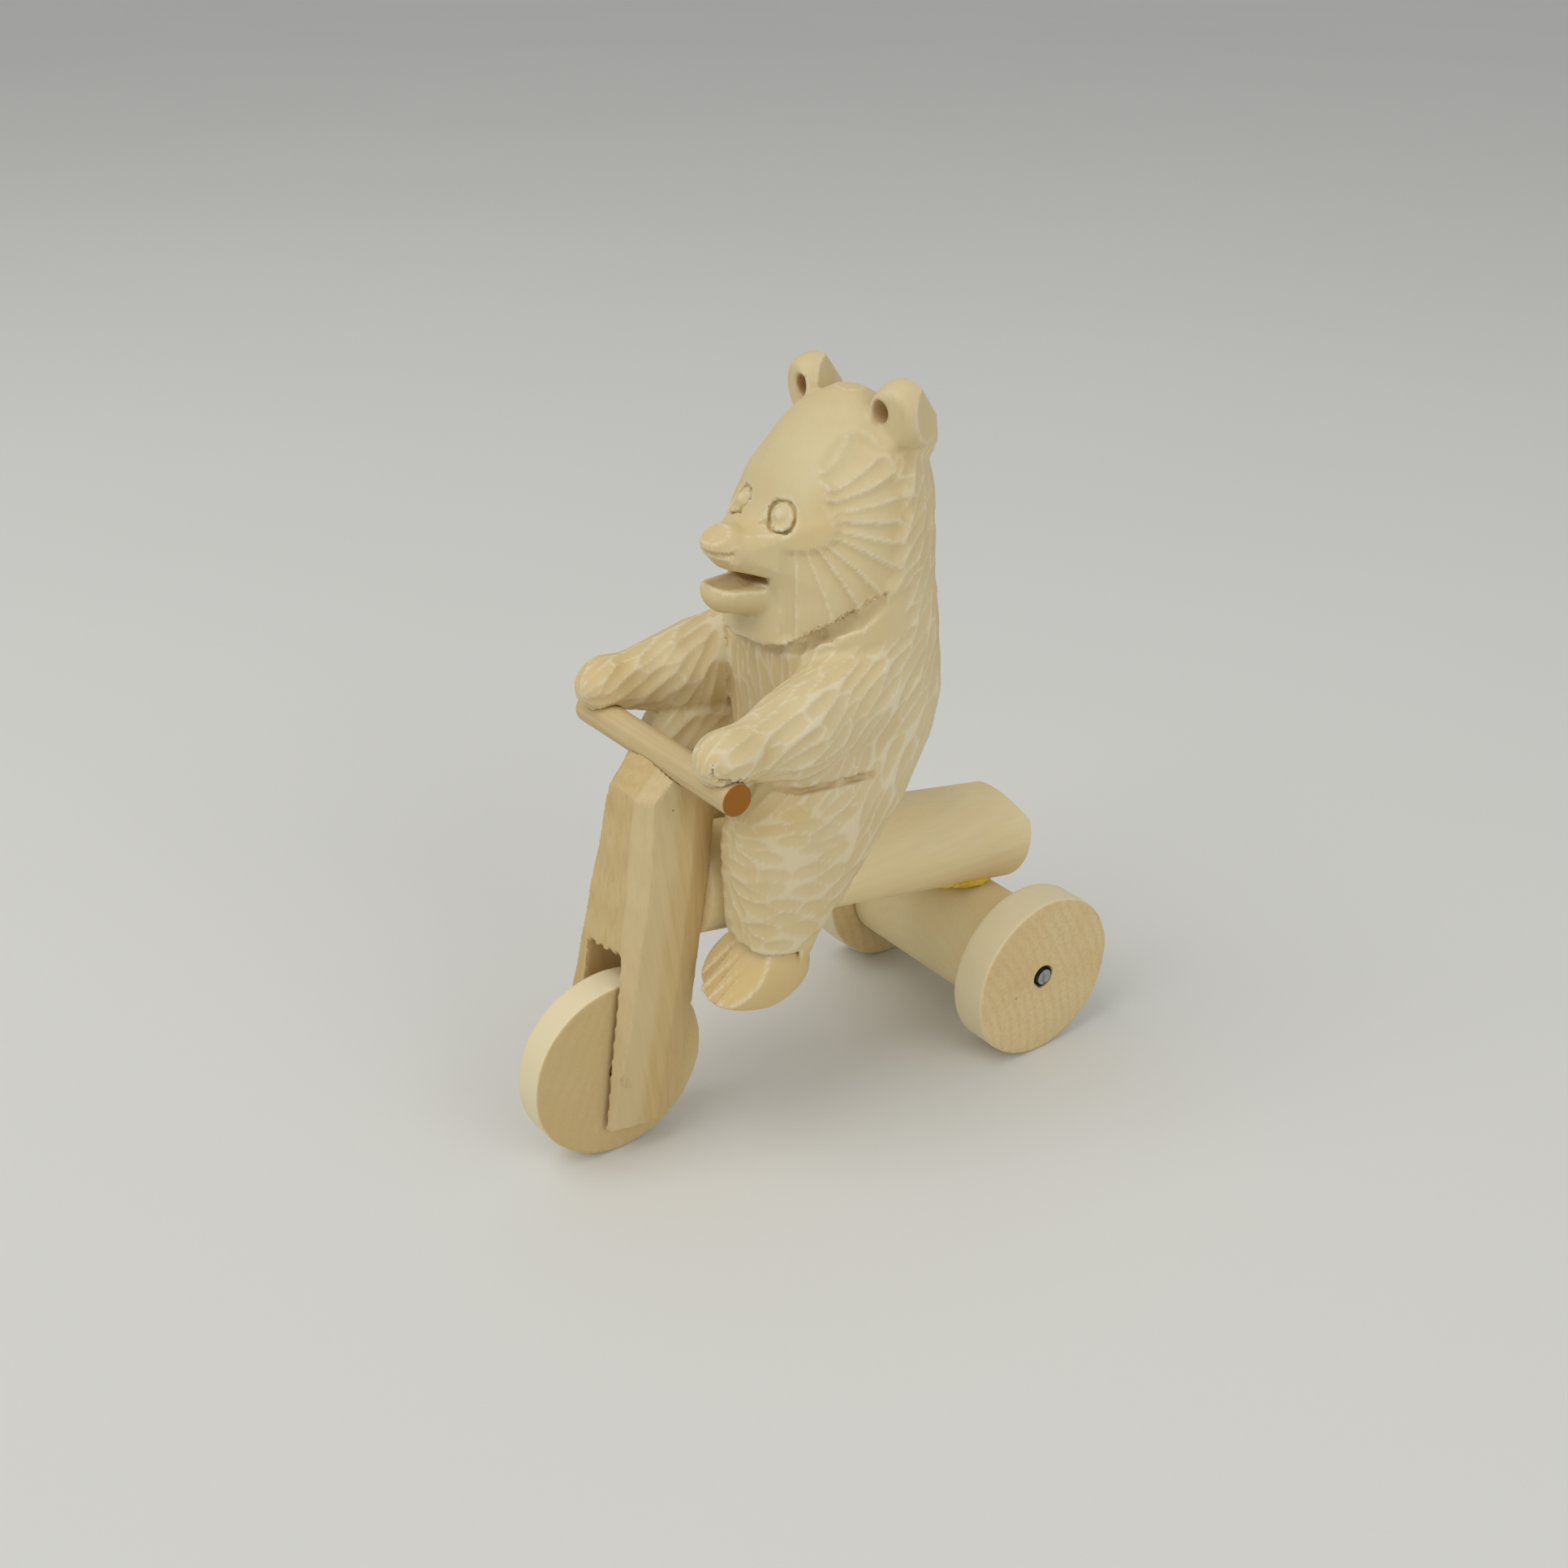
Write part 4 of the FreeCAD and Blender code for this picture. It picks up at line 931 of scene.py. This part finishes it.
def lathe_tree():
    """A geometry tree that spins a profile about X. The profile's corners hold place along X and radius."""
    tree = bpy.data.node_groups.new("turned_piece", "GeometryNodeTree")
    face = tree.interface
    for name, kind in (("Profile", "Object"), ("Corners", "Int"), ("Steps", "Int"), ("Middle", "Vector"),
                       ("Wander", "Float"), ("Wander Scale", "Float"), ("Seed", "Float"),
                       ("Material", "Material")):
        face.new_socket(name, in_out="INPUT", socket_type="NodeSocket" + kind)
    face.new_socket("Geometry", in_out="OUTPUT", socket_type="NodeSocketGeometry")
    m = Maker(tree)
    given = m.add("NodeGroupInput")
    corners, steps = given.out("Corners"), given.out("Steps")
    sheet = m.add("GeometryNodeMeshGrid", {
        "Size X": 1.0, "Size Y": 1.0, "Vertices X": steps + 1, "Vertices Y": corners})
    place = m.add("GeometryNodeInputPosition")
    parts = m.add("ShaderNodeSeparateXYZ", {0: place})
    angle = (parts.out("X") + 0.5) * math.tau
    which = (parts.out("Y") + 0.5) * (corners - 1)
    profile = m.add("GeometryNodeObjectInfo", {"Object": given.out("Profile")}).out("Geometry")
    corner = m.add("GeometryNodeSampleIndex", {0: profile, "Value": m.add("GeometryNodeInputPosition"),
                                               "Index": which.math("ROUND", which)}, data_type="FLOAT_VECTOR")
    at = m.add("ShaderNodeSeparateXYZ", {0: corner})
    radius, along = at.out("Y"), at.out("X")
    side, rise = angle.math("COSINE", angle), angle.math("SINE", angle)
    spun = m.add("ShaderNodeCombineXYZ", {0: along, 1: radius * side, 2: radius * rise})
    seed, wander, wander_scale = given.out("Seed"), given.out("Wander"), given.out("Wander Scale")
    waver = m.add("ShaderNodeTexNoise", {
        "Vector": spun, "W": seed, "Scale": wander_scale, "Detail": 2.0}, noise_dimensions="4D")
    flats = m.add("ShaderNodeTexNoise", {
        "Vector": spun, "W": seed + 5.0, "Scale": wander_scale * 0.35, "Detail": 0.0}, noise_dimensions="4D")
    offset = (waver + flats - 1.0) * wander * 2.0
    out = m.add("ShaderNodeCombineXYZ", {0: (waver - 0.5) * wander, 1: offset * side, 2: offset * rise})
    moved = m.add("ShaderNodeVectorMath", {0: spun, 1: out}, operation="ADD")
    placed = m.add("ShaderNodeVectorMath", {0: moved, 1: given.out("Middle")}, operation="ADD")
    turned = m.add("GeometryNodeSetPosition", {"Geometry": sheet, "Position": placed})
    welded = m.add("GeometryNodeMergeByDistance", {"Geometry": turned, "Distance": 0.00002})
    whole = m.add("GeometryNodeRealizeInstances", {"Geometry": welded})
    dressed = m.add("GeometryNodeSetMaterial", {"Geometry": whole, "Material": given.out("Material")})
    m.add("NodeGroupOutput", {"Geometry": dressed})
    return tree


def turned(name, profile_mm, middle_mm, steps, wander, wander_scale, seed, material, sharp_from=35):
    """Spin a profile of (place along X, radius) about X through middle, and return the plain mesh object."""
    tree = bpy.data.node_groups.get("turned_piece") or lathe_tree()
    line = bpy.data.meshes.new(name + "_profile")
    corners = [(x * MM, r * MM, 0.0) for x, r in profile_mm]
    line.from_pydata(corners, [(i, i + 1) for i in range(len(corners) - 1)], [])
    guide = linked(name + "_profile", line)
    host = linked(name + "_host", bpy.data.meshes.new(name + "_host"))
    modifier = host.modifiers.new("turned", "NODES")
    modifier.node_group = tree
    given = {"Profile": guide, "Corners": len(corners), "Steps": steps, "Middle": [c * MM for c in middle_mm],
             "Wander": wander, "Wander Scale": wander_scale, "Seed": float(seed), "Material": material}
    for item in tree.interface.items_tree:
        if item.item_type == "SOCKET" and item.in_out == "INPUT":
            modifier[item.identifier] = given[item.name]
    bpy.context.view_layer.update()
    evaluated = host.evaluated_get(bpy.context.evaluated_depsgraph_get())
    mesh = bpy.data.meshes.new_from_object(evaluated)
    mesh.name = name
    for spare in (host, guide):
        bpy.data.objects.remove(spare)
    if not mesh.polygons:
        raise RuntimeError(f"{name} came out empty")
    piece = linked(name, mesh)
    face_outwards(mesh)
    mesh.shade_smooth()
    mesh.set_sharp_from_angle(angle=math.radians(sharp_from))
    return piece


def face_outwards(mesh):
    made = bmesh.new()
    made.from_mesh(mesh)
    bmesh.ops.recalc_face_normals(made, faces=made.faces)
    made.to_mesh(mesh)
    made.free()


def arc(centre, radius, start, end, count=4):
    """Corners of a rounded edge in a profile."""
    angles = np.radians(np.linspace(start, end, count))
    return [(centre[0] + radius * math.cos(a), centre[1] + radius * math.sin(a)) for a in angles]


def disc_profile(half, radius, bore, rim, pocket=0.0, pocket_depth=0.0):
    """Closed section of a disc with a bore, from the bore on one face round to the bore on the other."""
    fine = np.linspace(bore + 1.0, radius - rim - 0.6, 9)
    outer = [(half, r) for r in fine] + arc((half - rim, radius - rim), rim, 0, 90)
    band = [(x, radius) for x in np.linspace(half - rim - 0.6, -(half - rim - 0.6), 6)]
    inner = arc((-(half - rim), radius - rim), rim, 90, 180) + [(-half, r) for r in fine[::-1]]
    start = [(0.0, bore)]
    if pocket:
        hub = [(half - pocket_depth, bore), (half - pocket_depth, pocket * 0.8), (half - 0.3, pocket),
               (half, pocket + 0.35)]
        outer = [c for c in outer if c[1] > pocket + 0.4]
    else:
        hub = [(half - 0.3, bore), (half, bore + 0.3)]
    return start + hub + outer + band + inner + [(-half, bore + 0.3), (-half + 0.3, bore)] + start


class OBJECT_OT_turned_wheels(bpy.types.Operator):
    """Turn the three wheels, each with its bore and knife-softened rims"""

    bl_idname = "object.turned_wheels"
    bl_label = "Turn the Wheels"

    def execute(self, context):
        settings = context.scene.bear_wheels
        rear_bore, rear_pocket, pocket_depth = 1.1, 2.3, 1.4
        wheels = (("front_wheel", 2.25, 0.0), ("rear_wheel_left", rear_bore, rear_pocket),
                  ("rear_wheel_right", rear_bore, rear_pocket))
        for number, (node, bore, pocket) in enumerate(wheels):
            middle, half, radius = round_of(node)
            profile = disc_profile(half - 0.06, radius - 0.12, bore, settings.rim, pocket, pocket_depth)
            if node == "rear_wheel_right":
                profile = [(-x, r) for x, r in profile]
            piece = turned("turned_" + node, profile, middle, settings.steps, settings.wander, 260.0,
                           number + 1, woods()["wheel_wood"])
            local = np.array([v.co for v in piece.data.vertices]) / MM - middle
            away = np.sqrt(local[:, 1] ** 2 + local[:, 2] ** 2)
            rim = (np.abs(local[:, 0]) < half - settings.rim * 0.5) & (away > radius - 1.0)
            worn = (np.abs(away - pocket) < 0.6) & (pocket > 0)
            for vertex in (piece.data.vertices[int(i)] for i in np.flatnonzero(worn)):
                vertex.co += Vector((0, -0.45 * MM, 0.35 * MM))
            mark(piece.data, "rim", rim)
            # Painted shade in the bore, and in the pocket round the nail on a rear wheel
            mark(piece.data, "hub", away < (pocket * 1.05 or bore))
            # Painted shade over the whole front wheel, which sits between the fork's blades
            mark(piece.data, "front_wheel_shade", np.full(len(away), node == "front_wheel"))
            finish_piece(piece, node, "wheel_wood", node)
        return {"FINISHED"}


class OBJECT_OT_bars(bpy.types.Operator):
    """Turn the handlebar and give the frame bar and the axle block their wood"""

    bl_idname = "object.toy_bars"
    bl_label = "Make the Bars"

    def execute(self, context):
        middle, half, radius = round_of("handlebar")
        rings = [(half, r) for r in (0.01, 1.0, 2.0, radius - 0.35)]
        rings += arc((half - 0.3, radius - 0.3), 0.3, 20, 90, 3)
        side = [(x, radius) for x in np.linspace(half - 1.0, -half + 1.0, 40)]
        profile = rings + side + [(-x, r) for x, r in rings[::-1]]
        piece = turned("turned_handlebar", profile, middle, 48, 0.00003, 60.0, 9, woods()["dowel_wood"])
        ends = [1.0 if abs(v.co.x) > (half - 0.25) * MM else 0.0 for v in piece.data.vertices]
        mark(piece.data, "hollow", ends)
        finish_piece(piece, "root", "dowel_wood", "handlebar")
        kept = {"turned_wood": ("frame_bar", "rear_axle_block"),
                "dowel_wood": ("front_axle_peg", "fork_peg", "seat_peg"),
                "nail_steel": ("rear_nail_left", "rear_nail_right")}
        for slot, nodes in kept.items():
            for node in nodes:
                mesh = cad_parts[node].data
                mesh.materials.clear()
                mesh.materials.append(woods()[slot])
        return {"FINISHED"}


# Places along the seam and the glue's radius there.
GLUE_LINE = [((6.3, 34.0, 32.8), 0.35), ((6.5, 37.5, 32.1), 0.6), ((6.7, 41.0, 31.3), 0.95),
             ((6.7, 44.5, 30.7), 0.9), ((6.5, 47.3, 30.4), 0.6)]


class OBJECT_OT_glue_bead(bpy.types.Operator):
    """Squeeze out the glue between the frame bar and the axle block"""

    bl_idname = "object.glue_bead"
    bl_label = "Squeeze Out the Glue"

    def execute(self, context):
        places = np.array([place for place, _ in GLUE_LINE])

        def field(p):
            film = None
            for (start, thin), (end, thick) in zip(GLUE_LINE, GLUE_LINE[1:]):
                part = limb(p, start, end, thin, thick, (1.25, 1.0, 1.0))
                film = part if film is None else smooth_join(film, part, 0.4)
            return film + 0.12 * np.sin(p[:, 1] * 2.1) * np.sin(p[:, 1] * 0.9 + p[:, 2])

        verts, faces = surface_of(field, places.min(0) - 2, places.max(0) + 2, 0.3)
        piece = new_piece("dried_glue_bead", verts, faces, woods()["dried_glue"])
        finish_piece(piece, "root", "dried_glue", "glue_bead")
        return {"FINISHED"}


class OBJECT_OT_toy_stage(bpy.types.Operator):
    """Lay the pale floor, hang the soft lights and set the camera"""

    bl_idname = "object.toy_stage"
    bl_label = "Set the Stage"

    def execute(self, context):
        settings, scene = context.scene.bear_stage, context.scene
        mesh = bpy.data.meshes.new("floor")
        reach = 6.0
        corners = [(-reach, -reach, 0), (reach, -reach, 0), (reach, reach, 0), (-reach, reach, 0)]
        mesh.from_pydata(corners, [], [(0, 1, 2, 3)])
        material, m = empty_material("pale_floor")
        cloud = m.noise(m.add("ShaderNodeTexCoord").out("Object"), 3.0, 3.0)
        cloudy = colour(darker(settings.floor, 0.985))
        shade = m.mix(m.between(cloud, 0.3, 0.7), colour(settings.floor), cloudy)
        shader = m.add("ShaderNodeBsdfPrincipled", {
            "Base Color": shade, "Roughness": 0.9, "Specular IOR Level": 0.1})
        m.add("ShaderNodeOutputMaterial", {"Surface": shader})
        mesh.materials.append(material)
        linked("floor", mesh)

        world = bpy.data.worlds.new("studio")
        world.use_nodes = True
        sky = world.node_tree.nodes["Background"].inputs
        sky["Color"].default_value = (0.975, 0.985, 0.985, 1.0)
        sky["Strength"].default_value = 0.47
        scene.world = world
        lights = (("key", (-0.1, -0.75, 1.2), (0, 0, 0.05), 1.1, settings.key, (1.0, 0.98, 0.95)),
                  ("fill", (1.15, 0.1, 0.7), (0, 0, 0.06), 0.8, settings.key * 0.36, (1.0, 0.985, 0.95)))
        for name, place, target, size, power, tint in lights:
            light = bpy.data.lights.new(name, "AREA")
            light.energy, light.size, light.color = power, size, tint
            lamp = linked(name, light)
            lamp.location = place
            lamp.rotation_euler = (Vector(target) - Vector(place)).to_track_quat("-Z", "Y").to_euler()

        camera = bpy.data.cameras.new("camera")
        camera.lens, camera.sensor_width, camera.clip_end = settings.lens, 36.0, 50.0
        holder = linked("camera", camera)
        right, up = (0.6005536, 0.7995810, 0.0023433), (-0.3664221, 0.2726071, 0.8896180)
        back = (0.7106829, -0.5351220, 0.4566994)
        place = (0.241531, -0.184087, 0.220478)
        holder.matrix_world = Matrix([(*axes, 0.0) for axes in zip(right, up, back)] + [(0, 0, 0, 1)])
        holder.location = place
        scene.camera = holder
        scene.view_settings.view_transform = "Standard"
        return {"FINISHED"}


class VIEW3D_PT_bear_tricycle(bpy.types.Panel):
    """Shows the settings of the carving, the wheels and the stage, and a button for each step"""

    bl_idname = "VIEW3D_PT_bear_tricycle"
    bl_label = "Bear Tricycle"
    bl_space_type = "VIEW_3D"
    bl_region_type = "UI"
    bl_category = "Bear Tricycle"

    def draw(self, context):
        scene = context.scene
        for group in (scene.bear_carving, scene.bear_wheels, scene.bear_stage):
            for name in group.__annotations__:
                self.layout.prop(group, name)
        for operator in OPERATORS:
            self.layout.operator(operator.bl_idname)


OPERATORS = (OBJECT_OT_toy_stage, OBJECT_OT_carved_bear, OBJECT_OT_whittled_fork, OBJECT_OT_turned_wheels,
             OBJECT_OT_bars, OBJECT_OT_glue_bead)
SETTINGS = {"bear_carving": CarvingSettings, "bear_wheels": WheelSettings, "bear_stage": StageSettings}


def register():
    for group in (*SETTINGS.values(), *OPERATORS, VIEW3D_PT_bear_tricycle):
        bpy.utils.register_class(group)
    for name, group in SETTINGS.items():
        setattr(bpy.types.Scene, name, bpy.props.PointerProperty(type=group))


def unregister():
    for name in SETTINGS:
        delattr(bpy.types.Scene, name)
    for group in (VIEW3D_PT_bear_tricycle, *OPERATORS[::-1], *SETTINGS.values()):
        bpy.utils.unregister_class(group)


def main():
    register()
    bpy.ops.object.toy_stage()
    bpy.ops.object.carved_bear()
    bpy.ops.object.whittled_fork()
    bpy.ops.object.turned_wheels()
    bpy.ops.object.toy_bars()
    bpy.ops.object.glue_bead()


if __name__ == "__main__":
    main()
